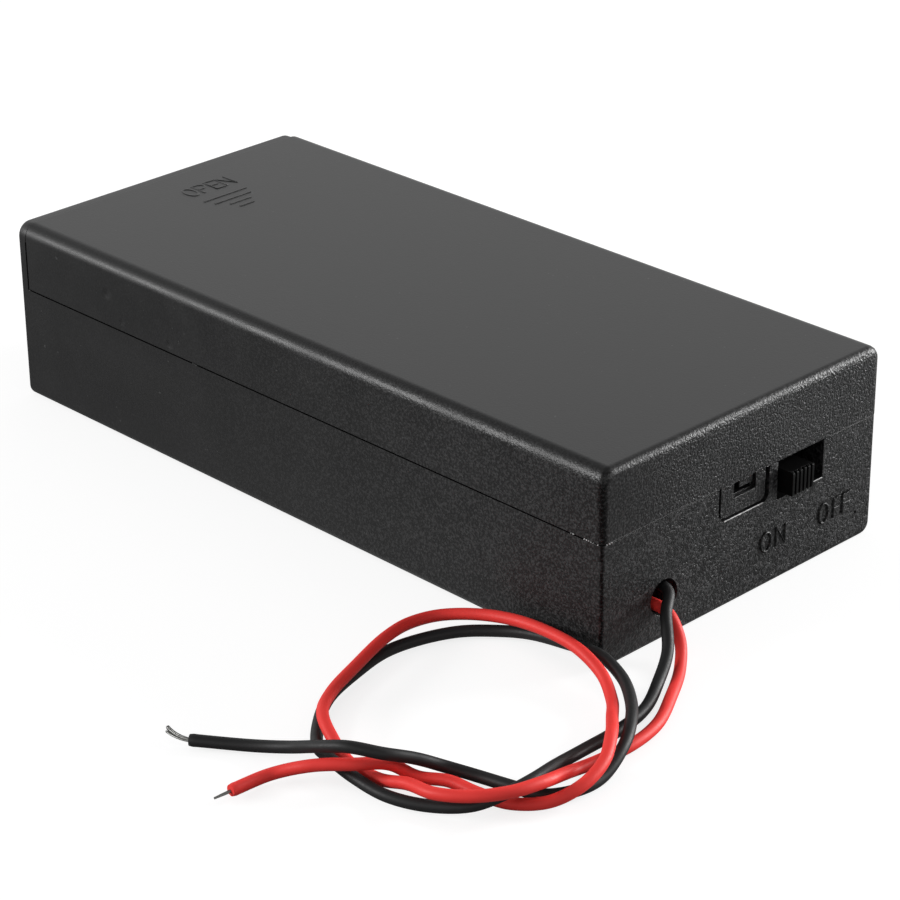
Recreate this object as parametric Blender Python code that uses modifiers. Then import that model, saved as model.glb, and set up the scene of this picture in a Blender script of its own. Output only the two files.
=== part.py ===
"""Battery box for two 18650 cells side by side, with a sliding cover, an ON/OFF slide switch and two free leads.

Metres, +Z up. The box stands on its floor at z = 0. +X points to the switch end and -Y to the near long side.
"""

import math

import bmesh
import bpy
from mathutils import Matrix, Vector

# Cells and the room round them
CELL_DIAMETER = 0.0184
CELL_LENGTH = 0.0652
CELL_PLAY = 0.0001
CELL_TOP_PLAY = 0.0006
SPRING_ROOM = 0.0094

# Walls of the case
FLOOR = 0.0015
RIM_WALL = 0.0013
FAR_WALL = 0.0014
FAR_WALL_DROP = 0.0002
CROSS_WALL = 0.0012
CROSS_WALL_DROP = 0.0010
CHAMBER_LENGTH = 0.0127
BASE_END_RADIUS = 0.00045
BASE_FAR_RADIUS = 0.00035
BOTTOM_RADIUS = 0.0013
RIM_CORNER_RADIUS = 0.0007
RIM_CHAMFER = 0.0003
CAVITY_CORNER_RADIUS = 0.0005

# Cover
COVER_WALL = 0.0013
COVER_RADIUS = 0.0016
COVER_END_RADIUS = 0.0009
COVER_OVERHANG = 0.00015
SKIRT_DROP = 0.0080
SLIDE_GAP = 0.0003
PARTING_GAP = 0.0002
BEAD_LENGTH = 0.0140
BEAD_HEIGHT = 0.0014
BEAD_PROUD = 0.0005
BEAD_ABOVE_EDGE = 0.0006
BEAD_COUNT = 3
BEAD_END_INSET = 0.0060
GROOVE_CLEARANCE = 0.0003

# Catch of the cover, its window and the thumb pocket in the end wall
CATCH_Y = 0.0
CATCH_WIDTH = 0.0023
CATCH_DROP = 0.0012
CATCH_RISE = 0.0030
CATCH_THICKNESS = 0.0009
CATCH_BARB = 0.0003
WINDOW_SIDE_GAP = 0.0004
WINDOW_LOW_GAP = 0.00065
POCKET_WIDTH = 0.0079
POCKET_HEIGHT = 0.0041
POCKET_DEPTH = 0.0006
POCKET_RADIUS = 0.0009

# Floor ribs: the low divider between the bays and the cradles that centre the cells
DIVIDER_THICKNESS = 0.0012
DIVIDER_HEIGHT = 0.0040
CRADLE_THICKNESS = 0.0010
CRADLE_HEIGHT = 0.0021
CRADLE_CLEARANCE = 0.0002
CRADLE_PLACES = (-0.0215, 0.0075)

# Contact plates, their guides and their buttons
PLATE_THICKNESS = 0.0004
PLATE_WIDTH = 0.0130
PLATE_HEIGHT = 0.0144
PLATE_ABOVE_FLOOR = 0.0007
PLATE_RADIUS = 0.0010
PIECE_GAP = 0.0003
GUIDE_THICKNESS = 0.0010
GUIDE_OVERLAP = 0.0008
GUIDE_HEIGHT = 0.0140
BUTTON_HEIGHT = 0.0015
BUTTON_BASE_RADIUS = 0.0032
BUTTON_TOP_RADIUS = 0.0019
BRIDGE_NECK_HEIGHT = 0.0080
BRIDGE_NECK_LENGTH = 0.0030
TAB_WIDTH = 0.0030
TAB_LENGTH = 0.0024
TAB_SLIT_GAP = 0.0003
POSITIVE_TAB_OFFSET = 0.0033

# Conical springs and the hooks that hold their first turn
SPRING_WIRE = 0.0008
SPRING_BASE_RADIUS = 0.0046
SPRING_TIP_RADIUS = 0.0026
SPRING_LENGTH = 0.0095
SPRING_TURNS = 4.0
SPRING_FLAT_TURNS = 0.35
SPRING_TIP_FLAT_TURNS = 0.5
SPRING_START_DEGREES = 27.0
SPRING_POINTS_A_TURN = 14
HOOK_THICKNESS = 0.00035
HOOK_WIDTH = 0.0016
HOOK_REACH = 0.0006
HOOK_DEGREES = (45.0, 135.0)

# Slide switch: opening in the end wall, knob, housing, board and lugs
SWITCH_INSET = 0.0003
SWITCH_BELOW_SKIRT = 0.0025
OPENING_SIDE_GAP = 0.0005
OPENING_BELOW = 0.0021
KNOB_PROUD = 0.0015
KNOB_WIDTH = 0.0034
KNOB_HEIGHT = 0.0027
KNOB_RIBS = 6
KNOB_RIB_PITCH = 0.00062
KNOB_GROOVE_WIDTH = 0.0003
KNOB_GROOVE_DEPTH = 0.00035
STEM_WIDTH = 0.0022
STEM_HEIGHT = 0.0022
STEM_PLAY = 0.0006
SLIDER_SIDE_PLAY = 0.0007
SLIDER_HEIGHT = 0.0038
SLIDER_THICKNESS = 0.0015
SLIDER_RECESS_WALL = 0.0004
SLIDER_RECESS_DEPTH = 0.0009
HOUSING_WIDTH = 0.0120
HOUSING_HEIGHT = 0.0064
HOUSING_DEPTH = 0.0052
HOUSING_WALL = 0.0009
HOUSING_FRONT = 0.0008
HOUSING_RADIUS = 0.0004
BOARD_THICKNESS = 0.0008
LUG_WIDTH = 0.0014
LUG_THICKNESS = 0.0005
LUG_LENGTH = 0.0037
LUG_HEAD_SPACING = 0.0008
LUG_HEAD_THICKNESS = 0.0003
LUG_HOLE_RADIUS = 0.0004
LUG_HOLE_INSET = 0.0008
SOLDER_RADIUS = 0.0006
CLIP_THICKNESS = 0.0003
CLIP_WIDTH = 0.0024
CLIP_MIDDLE = 0.0008
CLIP_CURL = 0.0005
SWITCH_GUIDE_WALL = 0.0009
SWITCH_GUIDE_HEIGHT = 0.0125
SWITCH_GUIDE_LIP = 0.0011
SHELF_THICKNESS = 0.0020

# Wire hole and leads
WIRE_HOLE_RADIUS = 0.0020
WIRE_HOLE_Y = -0.0120
WIRE_HOLE_Z = 0.0048
LEAD_DIAMETER = 0.00125
LEAD_POINT_SPACING = 2.5
CONDUCTOR_DIAMETER = 0.0005
BLACK_BARE_LENGTH = 0.0023
RED_BARE_LENGTH = 0.0017

# Lead routes in millimetres: x from the end face, y from the middle, z from the floor
MM = 0.001
BLACK_ROUTE = [
    (-12.8, -9.2, 15.6), (-10.4, -9.9, 12.2), (-7.8, -11.4, 8.6), (-5, -11.9, 6.4), (-1.9, -11.4, 5.7),
    (0.5, -12.1, 5.7), (2.4, -14.5, 4.8), (5, -17.1, 2.7), (6.8, -20.5, 1.2), (8.7, -24.4, 0.8),
    (9.6, -28.8, 0.8), (9.7, -34.3, 0.8), (10.5, -38.8, 1.5), (11.7, -43.2, 2.4), (11.5, -46.4, 2.3),
    (9.8, -49, 1.4), (6.4, -51.2, 0.8), (2.5, -52.8, 0.8), (-1.8, -53, 1), (-5.7, -52.7, 1.4),
    (-8.7, -51.4, 0.8), (-12, -48.2, 0.8), (-14.5, -44.6, 0.8), (-16.1, -39.7, 0.8), (-17.1, -34.6, 0.8),
    (-16.5, -30.5, 0.8), (-14.8, -26.5, 0.8), (-12.3, -23.8, 0.8), (-9, -22.5, 1.3), (-3.8, -22.4, 2.2),
    (0.9, -22.4, 2.7), (4.5, -23.3, 2.2), (7.9, -25.7, 2.2), (11.3, -29.3, 2.6), (13.3, -32.5, 2.1),
    (14.3, -36.5, 0.9), (14.1, -39.8, 0.8), (12.4, -42.6, 0.8), (9.6, -43.6, 0.9), (5.8, -44.5, 0.8),
    (3.1, -46, 1.3), (1.8, -48.5, 2.7), (0.5, -51.5, 4), (-2, -53.5, 4.5), (-5.2, -54.3, 3.5),
    (-9.4, -54.5, 1.7), (-12.9, -55.8, 0.9), (-18, -59.4, 0.9),
]
RED_ROUTE = [
    (-11, 5.1, 11.1), (-10.8, 1.3, 9), (-9.3, -3.4, 6.6), (-7, -8, 4.6), (-4.6, -11.1, 3.8),
    (-1.9, -12.7, 4.1), (1, -12.7, 3.8), (3.6, -13.7, 2.1), (6, -16.3, 0.9), (9, -21, 0.8),
    (11.5, -25.8, 0.8), (12.3, -30.1, 0.8), (12, -34.8, 0.8), (12.6, -39.4, 1.9), (13.4, -43.8, 3.1),
    (12.7, -47.2, 3.3), (10.3, -49.9, 3), (7.2, -51.4, 2.6), (3.5, -51.2, 1.9), (-0.2, -51.3, 0.8),
    (-4.4, -51.3, 0.8), (-7.8, -50.4, 1.8), (-10.8, -48.8, 2.4), (-13.3, -45.4, 2.2), (-15.2, -40.5, 2.3),
    (-17.2, -34.4, 2.4), (-18.1, -30.2, 2), (-17.3, -27, 1.9), (-14.7, -24.8, 2.2), (-10.8, -23.5, 2.7),
    (-5.7, -23.4, 3.3), (-0.7, -23.9, 3.4), (3.2, -24.7, 2.5), (6.4, -26.7, 1.8), (9.5, -30, 2.5),
    (12.6, -33.5, 3.3), (14.7, -36.8, 2.8), (15.2, -40.3, 2), (14, -43.3, 1.1), (11.3, -45.7, 0.8),
    (8.1, -46.8, 1), (4.8, -47.2, 1), (2, -48.5, 0.8), (0.1, -50.4, 2.2), (-1.5, -53.2, 2.7),
    (-4.6, -55.7, 2.3), (-7.8, -58, 1), (-8.3, -62.6, 1),
]
JUMPER_ROUTE = [(-12.8, 12.5, 15.7), (-12.1, 12.3, 14.7), (-11.5, 11.4, 13.7), (-11.2, 10.2, 12.9), (-11.1, 9.45, 12.35)]
JUMPER_SPACING = 0.5

# Sizes of the case that follow from the cells
BAY_WIDTH = CELL_DIAMETER + CELL_PLAY
BAY_LENGTH = CELL_LENGTH + SPRING_ROOM
CELL_Z = FLOOR + CELL_DIAMETER / 2
RIM_TOP = FLOOR + CELL_DIAMETER + CELL_TOP_PLAY
HEIGHT = RIM_TOP + SLIDE_GAP + COVER_WALL
HALF_WIDTH = BAY_WIDTH + RIM_WALL + SLIDE_GAP + COVER_WALL
LENGTH = FAR_WALL + BAY_LENGTH + CROSS_WALL + CHAMBER_LENGTH + RIM_WALL + SLIDE_GAP + COVER_WALL
SKIRT_EDGE = HEIGHT - SKIRT_DROP
SHELF = SKIRT_EDGE - PARTING_GAP
RIM_HALF_WIDTH = BAY_WIDTH + RIM_WALL
BASE_HALF_WIDTH = HALF_WIDTH - COVER_OVERHANG
BAY_Y = BAY_WIDTH / 2

# Sizes of the switch that follow from its housing: three lugs, one pitch of travel
SWITCH_Y = BAY_Y - SWITCH_INSET
SWITCH_Z = SKIRT_EDGE - SWITCH_BELOW_SKIRT
LUG_PITCH = HOUSING_WIDTH / 4
LUG_HEAD = LUG_PITCH - LUG_HEAD_SPACING
KNOB_TRAVEL = LUG_PITCH
SLIDER_WIDTH = HOUSING_WIDTH - 2 * HOUSING_WALL - KNOB_TRAVEL - 2 * SLIDER_SIDE_PLAY
OPENING_WIDTH = KNOB_WIDTH + KNOB_TRAVEL + 2 * OPENING_SIDE_GAP

# Places along X. The knob stands proud of the end, and the origin is in the middle of the whole
FAR_FACE = -(LENGTH + KNOB_PROUD) / 2
BAY_START = FAR_FACE + FAR_WALL
BAY_END = BAY_START + BAY_LENGTH
CHAMBER_START = BAY_END + CROSS_WALL
CHAMBER_END = CHAMBER_START + CHAMBER_LENGTH
RIM_END = CHAMBER_END + RIM_WALL
END_FACE = FAR_FACE + LENGTH
BASE_END = END_FACE - COVER_OVERHANG
COVER_START = BAY_START + SLIDE_GAP
MIDDLE = FAR_FACE + LENGTH / 2
SKIRT_INSIDE = END_FACE - COVER_WALL

# Places of the switch, from the end wall inwards
KNOB_FRONT = END_FACE + KNOB_PROUD
HOUSING_FACE = CHAMBER_END - PIECE_GAP
HOUSING_BACK = HOUSING_FACE - HOUSING_DEPTH
KNOB_BACK = HOUSING_FACE + PIECE_GAP
KNOB_Y = SWITCH_Y - KNOB_TRAVEL / 2
SLIDER_FRONT = HOUSING_FACE - HOUSING_FRONT - PIECE_GAP
SLIDER_BACK = SLIDER_FRONT - SLIDER_THICKNESS
BOARD_BACK = HOUSING_BACK + PIECE_GAP
BOARD_FRONT = BOARD_BACK + BOARD_THICKNESS
LUG_HEAD_FRONT = BOARD_FRONT + PIECE_GAP + LUG_HEAD_THICKNESS
LUG_TIP = BOARD_BACK - LUG_LENGTH

BEYOND = 0.002
SINK = 0.0004


def clear_scene():
    for obj in list(bpy.data.objects):
        bpy.data.objects.remove(obj, do_unlink=True)


def new_collection(name):
    collection = bpy.data.collections.new(name)
    bpy.context.scene.collection.children.link(collection)
    return collection


def material(name, colour, roughness, metallic=0.0):
    made = bpy.data.materials.new(name)
    made.use_nodes = True
    shader = made.node_tree.nodes["Principled BSDF"]
    shader.inputs["Base Color"].default_value = (*colour, 1.0)
    shader.inputs["Roughness"].default_value = roughness
    shader.inputs["Metallic"].default_value = metallic
    made.diffuse_color = (*colour, 1.0)
    return made


def link(name, mesh, collection=None):
    obj = bpy.data.objects.new(name, mesh)
    (collection or PARTS).objects.link(obj)
    return obj


def finish(obj, surface):
    """Give a piece its material and smooth shading with sharp edges kept."""
    obj.data.materials.clear()
    obj.data.materials.append(surface)
    obj.data.shade_smooth()
    obj.data.set_sharp_from_angle(angle=math.radians(35))
    return obj


def block(name, low, high, rounded=(), collection=None):
    """A box between two corners. rounded holds (edge test, radius, segments) for each set of round edges."""
    centre = (Vector(low) + Vector(high)) / 2
    size = Vector(high) - Vector(low)
    mesh = bpy.data.meshes.new(name)
    bm = bmesh.new()
    bmesh.ops.create_cube(bm, size=1.0, matrix=Matrix.Diagonal((*size, 1.0)))
    for test, radius, segments in rounded:
        edges = [edge for edge in bm.edges if test(edge)]
        bmesh.ops.bevel(bm, geom=edges, offset=radius, segments=segments, profile=0.5, affect="EDGES")
    bm.to_mesh(mesh)
    bm.free()
    obj = link(name, mesh, collection)
    obj.location = centre
    return obj


def direction(edge):
    return (edge.verts[1].co - edge.verts[0].co).normalized()


def middle(edge):
    return (edge.verts[0].co + edge.verts[1].co) / 2


def along(axis):
    """Edge test: straight edges that run along the axis."""
    return lambda edge: abs(direction(edge)[axis]) > 0.999


def on_side(axis, sign):
    """Edge test: edges of the box's own face on that side."""
    def test(edge):
        limit = max(sign * vert.co[axis] for face in edge.link_faces for vert in face.verts)
        return all(abs(sign * vert.co[axis] - limit) < 1e-7 for vert in edge.verts) and abs(direction(edge)[axis]) < 0.001
    return test


def both(first, second):
    return lambda edge: first(edge) and second(edge)


def rod(name, centre, axis, radius, length, segments=32, tip_radius=None, collection=None):
    """A cylinder or cone along X, Y or Z, its base on the low side of the axis."""
    mesh = bpy.data.meshes.new(name)
    bm = bmesh.new()
    bmesh.ops.create_cone(
        bm,
        cap_ends=True,
        segments=segments,
        radius1=radius,
        radius2=radius if tip_radius is None else tip_radius,
        depth=length,
    )
    bm.to_mesh(mesh)
    bm.free()
    obj = link(name, mesh, collection)
    obj.location = centre
    turn = {"X": (0, math.pi / 2, 0), "-X": (0, -math.pi / 2, 0), "Y": (-math.pi / 2, 0, 0), "Z": (0, 0, 0)}
    obj.rotation_euler = turn[axis]
    return obj


def outline_prism(name, outline, thickness, matrix, collection=None):
    """A flat outline, in the X and Y of the matrix, given a thickness centred on its plane."""
    curve = bpy.data.curves.new(name, "CURVE")
    curve.dimensions = "2D"
    curve.fill_mode = "BOTH"
    curve.extrude = thickness / 2
    spline = curve.splines.new("POLY")
    spline.points.add(len(outline) - 1)
    for point, place in zip(spline.points, outline):
        point.co = (place[0], place[1], 0.0, 1.0)
    spline.use_cyclic_u = True
    guide = link(name + "_outline", curve, collection)
    guide.matrix_world = matrix
    return as_mesh(guide, name, collection)


def as_mesh(guide, name, collection=None):
    """The curve object made a mesh object with its caps joined on."""
    bpy.context.view_layer.update()
    evaluated = guide.evaluated_get(bpy.context.evaluated_depsgraph_get())
    mesh = bpy.data.meshes.new_from_object(evaluated)
    bm = bmesh.new()
    bm.from_mesh(mesh)
    bmesh.ops.remove_doubles(bm, verts=bm.verts, dist=1e-7)
    bmesh.ops.recalc_face_normals(bm, faces=bm.faces)
    bm.to_mesh(mesh)
    bm.free()
    mesh.name = name
    obj = link(name, mesh, collection)
    obj.matrix_world = guide.matrix_world
    bpy.data.objects.remove(guide, do_unlink=True)
    return obj


def boolean(target, tool, operation):
    for holder in list(tool.users_collection):
        holder.objects.unlink(tool)
    CUTTERS.objects.link(tool)
    tool.hide_render = True
    tool.display_type = "WIRE"
    modifier = target.modifiers.new(tool.name, "BOOLEAN")
    modifier.operation = operation
    modifier.solver = "EXACT"
    modifier.object = tool
    return target


def cut(target, tool):
    return boolean(target, tool, "DIFFERENCE")


def join(target, tool):
    return boolean(target, tool, "UNION")


def strip_outline(line, thickness):
    """The outline of a sheet bent along a line, seen from its edge."""
    places = [Vector(place) for place in line]
    headings = [(b - a).normalized() for a, b in zip(places, places[1:])]
    sides = []
    for number, place in enumerate(places):
        before = headings[max(number - 1, 0)]
        after = headings[min(number, len(headings) - 1)]
        across = (before + after).normalized()
        across = Vector((-across.y, across.x))
        normal = Vector((-after.y, after.x))
        sides.append(across * (thickness / 2 / max(across.dot(normal), 0.5)))
    low = [tuple(place - side) for place, side in zip(places, sides)]
    high = [tuple(place + side) for place, side in zip(places, sides)]
    return low + high[::-1]


def smooth_route(route, spacing):
    """Points at equal steps along a centripetal Catmull-Rom curve through the route's points."""
    places = [Vector(place) for place in route]
    places = [2 * places[0] - places[1], *places, 2 * places[-1] - places[-2]]
    dense = []
    for p0, p1, p2, p3 in zip(places, places[1:], places[2:], places[3:]):
        t1 = (p1 - p0).length ** 0.5
        t2 = t1 + (p2 - p1).length ** 0.5
        t3 = t2 + (p3 - p2).length ** 0.5
        for step in range(24):
            t = t1 + (t2 - t1) * step / 24
            a1 = p0.lerp(p1, t / t1)
            a2 = p1.lerp(p2, (t - t1) / (t2 - t1))
            a3 = p2.lerp(p3, (t - t2) / (t3 - t2))
            b1 = a1.lerp(a2, t / t2)
            b2 = a2.lerp(a3, (t - t1) / (t3 - t1))
            dense.append(b1.lerp(b2, (t - t1) / (t2 - t1)))
    dense.append(places[-2])
    total = sum((b - a).length for a, b in zip(dense, dense[1:]))
    count = max(2, round(total / spacing))
    points = [dense[0]]
    travelled = 0.0
    for a, b in zip(dense, dense[1:]):
        length = (b - a).length
        while len(points) < count and travelled + length >= total * len(points) / count:
            points.append(a.lerp(b, (total * len(points) / count - travelled) / length))
        travelled += length
    points.append(dense[-1])
    return points


def tube(name, points, diameter, sides_resolution=2):
    """A round wire through the points, with closed ends."""
    curve = bpy.data.curves.new(name, "CURVE")
    curve.dimensions = "3D"
    curve.bevel_depth = diameter / 2
    curve.bevel_resolution = sides_resolution
    curve.use_fill_caps = True
    spline = curve.splines.new("POLY")
    spline.points.add(len(points) - 1)
    for point, place in zip(spline.points, points):
        point.co = (*place, 1.0)
    obj = link(name, curve)
    return obj


def case_base():
    """The moulded tray: full-height far wall, set-in rim under the cover's skirt, two bays and the switch chamber."""
    half = BASE_HALF_WIDTH
    base = block(
        "case_base",
        (FAR_FACE, -half, 0),
        (BASE_END, half, HEIGHT - FAR_WALL_DROP),
        [
            (both(along(0), on_side(2, 1)), COVER_RADIUS, 6),
            (both(along(0), on_side(2, -1)), BOTTOM_RADIUS, 6),
            (on_side(0, 1), BASE_END_RADIUS, 3),
            (on_side(0, -1), BASE_FAR_RADIUS, 3),
        ],
    )
    cut(base, block("upper_step", (BAY_START, -half - BEYOND, SHELF), (BASE_END + BEYOND, half + BEYOND, HEIGHT + BEYOND)))
    rim = block(
        "rim",
        (BAY_START - SINK, -RIM_HALF_WIDTH, SHELF - BEYOND),
        (RIM_END, RIM_HALF_WIDTH, RIM_TOP),
        [(both(along(2), lambda edge: middle(edge).x > 0), RIM_CORNER_RADIUS, 3), (on_side(2, 1), RIM_CHAMFER, 1)],
    )
    join(base, rim)
    for name, start, end in (("bays", BAY_START, BAY_END), ("chamber", CHAMBER_START, CHAMBER_END)):
        hollow = block(
            name,
            (start, -BAY_WIDTH, FLOOR),
            (end, BAY_WIDTH, HEIGHT + BEYOND),
            [(along(2), CAVITY_CORNER_RADIUS, 2)],
        )
        cut(base, hollow)
    cut(
        base,
        block(
            "cross_wall_top",
            (BAY_END - SINK, -BAY_WIDTH + CAVITY_CORNER_RADIUS, RIM_TOP - CROSS_WALL_DROP),
            (CHAMBER_START + SINK, BAY_WIDTH - CAVITY_CORNER_RADIUS, HEIGHT + BEYOND),
        ),
    )
    add_floor_ribs(base)
    add_plate_guides(base)
    add_switch_seat(base)
    cut_slide_grooves(base)
    cut_end_wall(base)
    cut_tab_slits(base)
    return finish(base, ABS_BLACK)


def add_floor_ribs(base):
    """The divider between the bays, and cradle ribs whose tops are hollowed to the cells' radius."""
    guide_face = BAY_END - PLATE_THICKNESS - 2 * PIECE_GAP
    divider = block(
        "divider",
        (BAY_START + PLATE_THICKNESS + 2 * PIECE_GAP + GUIDE_THICKNESS, -DIVIDER_THICKNESS / 2, FLOOR - SINK),
        (guide_face - SINK, DIVIDER_THICKNESS / 2, FLOOR + DIVIDER_HEIGHT),
        [(both(along(0), on_side(2, 1)), DIVIDER_THICKNESS / 3, 3)],
    )
    join(base, divider)
    for number, place in enumerate(CRADLE_PLACES, 1):
        cradle = block(
            f"cradle_{number}",
            (MIDDLE + place, -BAY_WIDTH - SINK, FLOOR - SINK),
            (MIDDLE + place + CRADLE_THICKNESS, BAY_WIDTH + SINK, FLOOR + CRADLE_HEIGHT),
        )
        for side in (-1, 1):
            cell = rod(
                f"cradle_{number}_cell_{'near' if side < 0 else 'far'}",
                (MIDDLE + place + CRADLE_THICKNESS / 2, side * BAY_Y, CELL_Z),
                "X",
                CELL_DIAMETER / 2 + CRADLE_CLEARANCE,
                CRADLE_THICKNESS + 2 * BEYOND,
                48,
            )
            cut(cradle, cell)
        join(base, cradle)


def add_plate_guides(base):
    """Upright ribs that trap the edges of the contact plates against the end walls."""
    top = FLOOR + GUIDE_HEIGHT
    plate_edge = BAY_Y + PLATE_WIDTH / 2
    far_low = BAY_START + 2 * PIECE_GAP + PLATE_THICKNESS
    near_high = BAY_END - 2 * PIECE_GAP - PLATE_THICKNESS
    for side in (-1, 1):
        inner = side * (plate_edge - GUIDE_OVERLAP)
        outer = side * (BAY_WIDTH + SINK)
        word = "near" if side < 0 else "far"
        for place, low in (("far_end", far_low), ("switch_end", near_high - GUIDE_THICKNESS)):
            guide = block(
                f"guide_{place}_{word}",
                (low, min(inner, outer), FLOOR - SINK),
                (low + GUIDE_THICKNESS, max(inner, outer), top),
            )
            join(base, guide)
    flange = BAY_Y - PLATE_WIDTH / 2 + GUIDE_OVERLAP
    web = DIVIDER_THICKNESS / 2
    low = near_high - GUIDE_THICKNESS
    outline = [
        (low, -flange),
        (near_high, -flange),
        (near_high, -web),
        (BAY_END + SINK, -web),
        (BAY_END + SINK, web),
        (near_high, web),
        (near_high, flange),
        (low, flange),
    ]
    height = top - FLOOR + SINK
    post = outline_prism("centre_post", outline, height, Matrix.Translation((0, 0, top - height / 2)))
    join(base, post)


def add_switch_seat(base):
    """Two hooked guides that the switch drops into from above, and the shelf that carries it."""
    inside = HOUSING_WIDTH / 2 + PIECE_GAP
    lip_back = HOUSING_BACK - PIECE_GAP - SWITCH_GUIDE_LIP
    lip_front = HOUSING_BACK - PIECE_GAP
    height = SWITCH_GUIDE_HEIGHT + SINK
    for side in (-1, 1):
        outline = [
            (CHAMBER_END + SINK, side * inside),
            (lip_front, side * inside),
            (lip_front, side * (inside - SWITCH_GUIDE_LIP)),
            (lip_back, side * (inside - SWITCH_GUIDE_LIP)),
            (lip_back, side * (inside + SWITCH_GUIDE_WALL)),
            (CHAMBER_END + SINK, side * (inside + SWITCH_GUIDE_WALL)),
        ]
        place = Matrix.Translation((0, SWITCH_Y, FLOOR - SINK + height / 2))
        word = "near" if side < 0 else "far"
        join(base, outline_prism(f"switch_guide_{word}", outline, height, place))
    shelf_top = SWITCH_Z - HOUSING_HEIGHT / 2 - PIECE_GAP
    centre = (HOUSING_BACK + HOUSING_FACE) / 2
    shelf = block(
        "switch_shelf",
        (centre - SHELF_THICKNESS / 2, SWITCH_Y - inside - SINK, FLOOR - SINK),
        (centre + SHELF_THICKNESS / 2, SWITCH_Y + inside + SINK, shelf_top),
    )
    join(base, shelf)


def cut_slide_grooves(base):
    """Grooves along the outside of the rim, where the cover's beads run."""
    low = SKIRT_EDGE + BEAD_ABOVE_EDGE - GROOVE_CLEARANCE
    high = SKIRT_EDGE + BEAD_ABOVE_EDGE + BEAD_HEIGHT + GROOVE_CLEARANCE
    bottom = HALF_WIDTH - COVER_WALL - BEAD_PROUD - GROOVE_CLEARANCE
    for side in (-1, 1):
        ends = sorted((side * bottom, side * (RIM_HALF_WIDTH + BEYOND)))
        groove = block(
            f"groove_{'near' if side < 0 else 'far'}",
            (COVER_START, ends[0], low),
            (RIM_END + BEYOND, ends[1], high),
        )
        cut(base, groove)


def cut_end_wall(base):
    """Thumb pocket, catch window, switch opening and wire hole in the end wall."""
    pocket = block(
        "thumb_pocket",
        (BASE_END - POCKET_DEPTH, CATCH_Y - POCKET_WIDTH / 2, SKIRT_EDGE - POCKET_HEIGHT),
        (BASE_END + BEYOND, CATCH_Y + POCKET_WIDTH / 2, SKIRT_EDGE + BEYOND),
        [(both(along(0), lambda edge: middle(edge).z < 0), POCKET_RADIUS, 4)],
    )
    cut(base, pocket)
    window = block(
        "catch_window",
        (CHAMBER_END - SINK, CATCH_Y - CATCH_WIDTH / 2 - WINDOW_SIDE_GAP, SKIRT_EDGE - CATCH_DROP - WINDOW_LOW_GAP),
        (BASE_END + BEYOND, CATCH_Y + CATCH_WIDTH / 2 + WINDOW_SIDE_GAP, SKIRT_EDGE + CATCH_RISE + WINDOW_SIDE_GAP),
    )
    cut(base, window)
    opening = block(
        "switch_opening",
        (CHAMBER_END - SINK, SWITCH_Y - OPENING_WIDTH / 2, SWITCH_Z - OPENING_BELOW),
        (BASE_END + BEYOND, SWITCH_Y + OPENING_WIDTH / 2, SKIRT_EDGE + SINK),
    )
    cut(base, opening)
    hole = rod(
        "wire_hole",
        ((CHAMBER_END + BASE_END) / 2, WIRE_HOLE_Y, WIRE_HOLE_Z),
        "X",
        WIRE_HOLE_RADIUS,
        BASE_END - CHAMBER_END + 2 * BEYOND,
        36,
    )
    cut(base, hole)


def tab_height():
    """Height of the upper face of the tabs, which leave the top edge of their plates."""
    return FLOOR + PLATE_ABOVE_FLOOR + PLATE_HEIGHT


def cut_tab_slits(base):
    """Slits in the cross wall for the two solder tabs."""
    for name, place in (("positive", BAY_Y + POSITIVE_TAB_OFFSET), ("negative", -BAY_Y)):
        half = TAB_WIDTH / 2 + TAB_SLIT_GAP
        slit = block(
            f"tab_slit_{name}",
            (BAY_END - BEYOND / 2, place - half, tab_height() - PLATE_THICKNESS - TAB_SLIT_GAP),
            (CHAMBER_START + BEYOND / 2, place + half, tab_height() + TAB_SLIT_GAP),
        )
        cut(base, slit)


def sliding_cover():
    """A thin shell, open below and at the far end, with guide beads and a catch inside its skirt."""
    low = Vector((COVER_START, -HALF_WIDTH, SKIRT_EDGE))
    high = Vector((END_FACE, HALF_WIDTH, HEIGHT))
    mesh = bpy.data.meshes.new("sliding_cover")
    bm = bmesh.new()
    bmesh.ops.create_cube(bm, size=1.0, matrix=Matrix.Diagonal((*(high - low), 1.0)))
    open_sides = [face for face in bm.faces if face.normal.z < -0.9 or face.normal.x < -0.9]
    bmesh.ops.delete(bm, geom=open_sides, context="FACES")
    for side, radius, segments in ((both(along(0), on_side(2, 1)), COVER_RADIUS, 6), (on_side(0, 1), COVER_END_RADIUS, 4)):
        edges = [edge for edge in bm.edges if len(edge.link_faces) == 2 and side(edge)]
        bmesh.ops.bevel(bm, geom=edges, offset=radius, segments=segments, profile=0.5, affect="EDGES")
    bm.to_mesh(mesh)
    bm.free()
    cover = link("sliding_cover", mesh)
    cover.location = (low + high) / 2
    shell = cover.modifiers.new("wall", "SOLIDIFY")
    shell.thickness = COVER_WALL
    shell.offset = -1.0
    shell.use_even_offset = True
    add_beads(cover)
    add_catch(cover)
    return finish(cover, ABS_BLACK)


def add_beads(cover):
    run = END_FACE - COVER_START - 2 * BEAD_END_INSET - BEAD_LENGTH
    low = SKIRT_EDGE + BEAD_ABOVE_EDGE
    inside = HALF_WIDTH - COVER_WALL
    for side in (-1, 1):
        ends = sorted((side * (inside - BEAD_PROUD), side * (inside + COVER_WALL / 2)))
        for number in range(BEAD_COUNT):
            start = COVER_START + BEAD_END_INSET + run * number / (BEAD_COUNT - 1)
            bead = block(
                f"bead_{'near' if side < 0 else 'far'}_{number + 1}",
                (start, ends[0], low),
                (start + BEAD_LENGTH, ends[1], low + BEAD_HEIGHT),
                [(on_side(1, -side), BEAD_PROUD * 0.6, 2)],
            )
            join(cover, bead)


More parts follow.
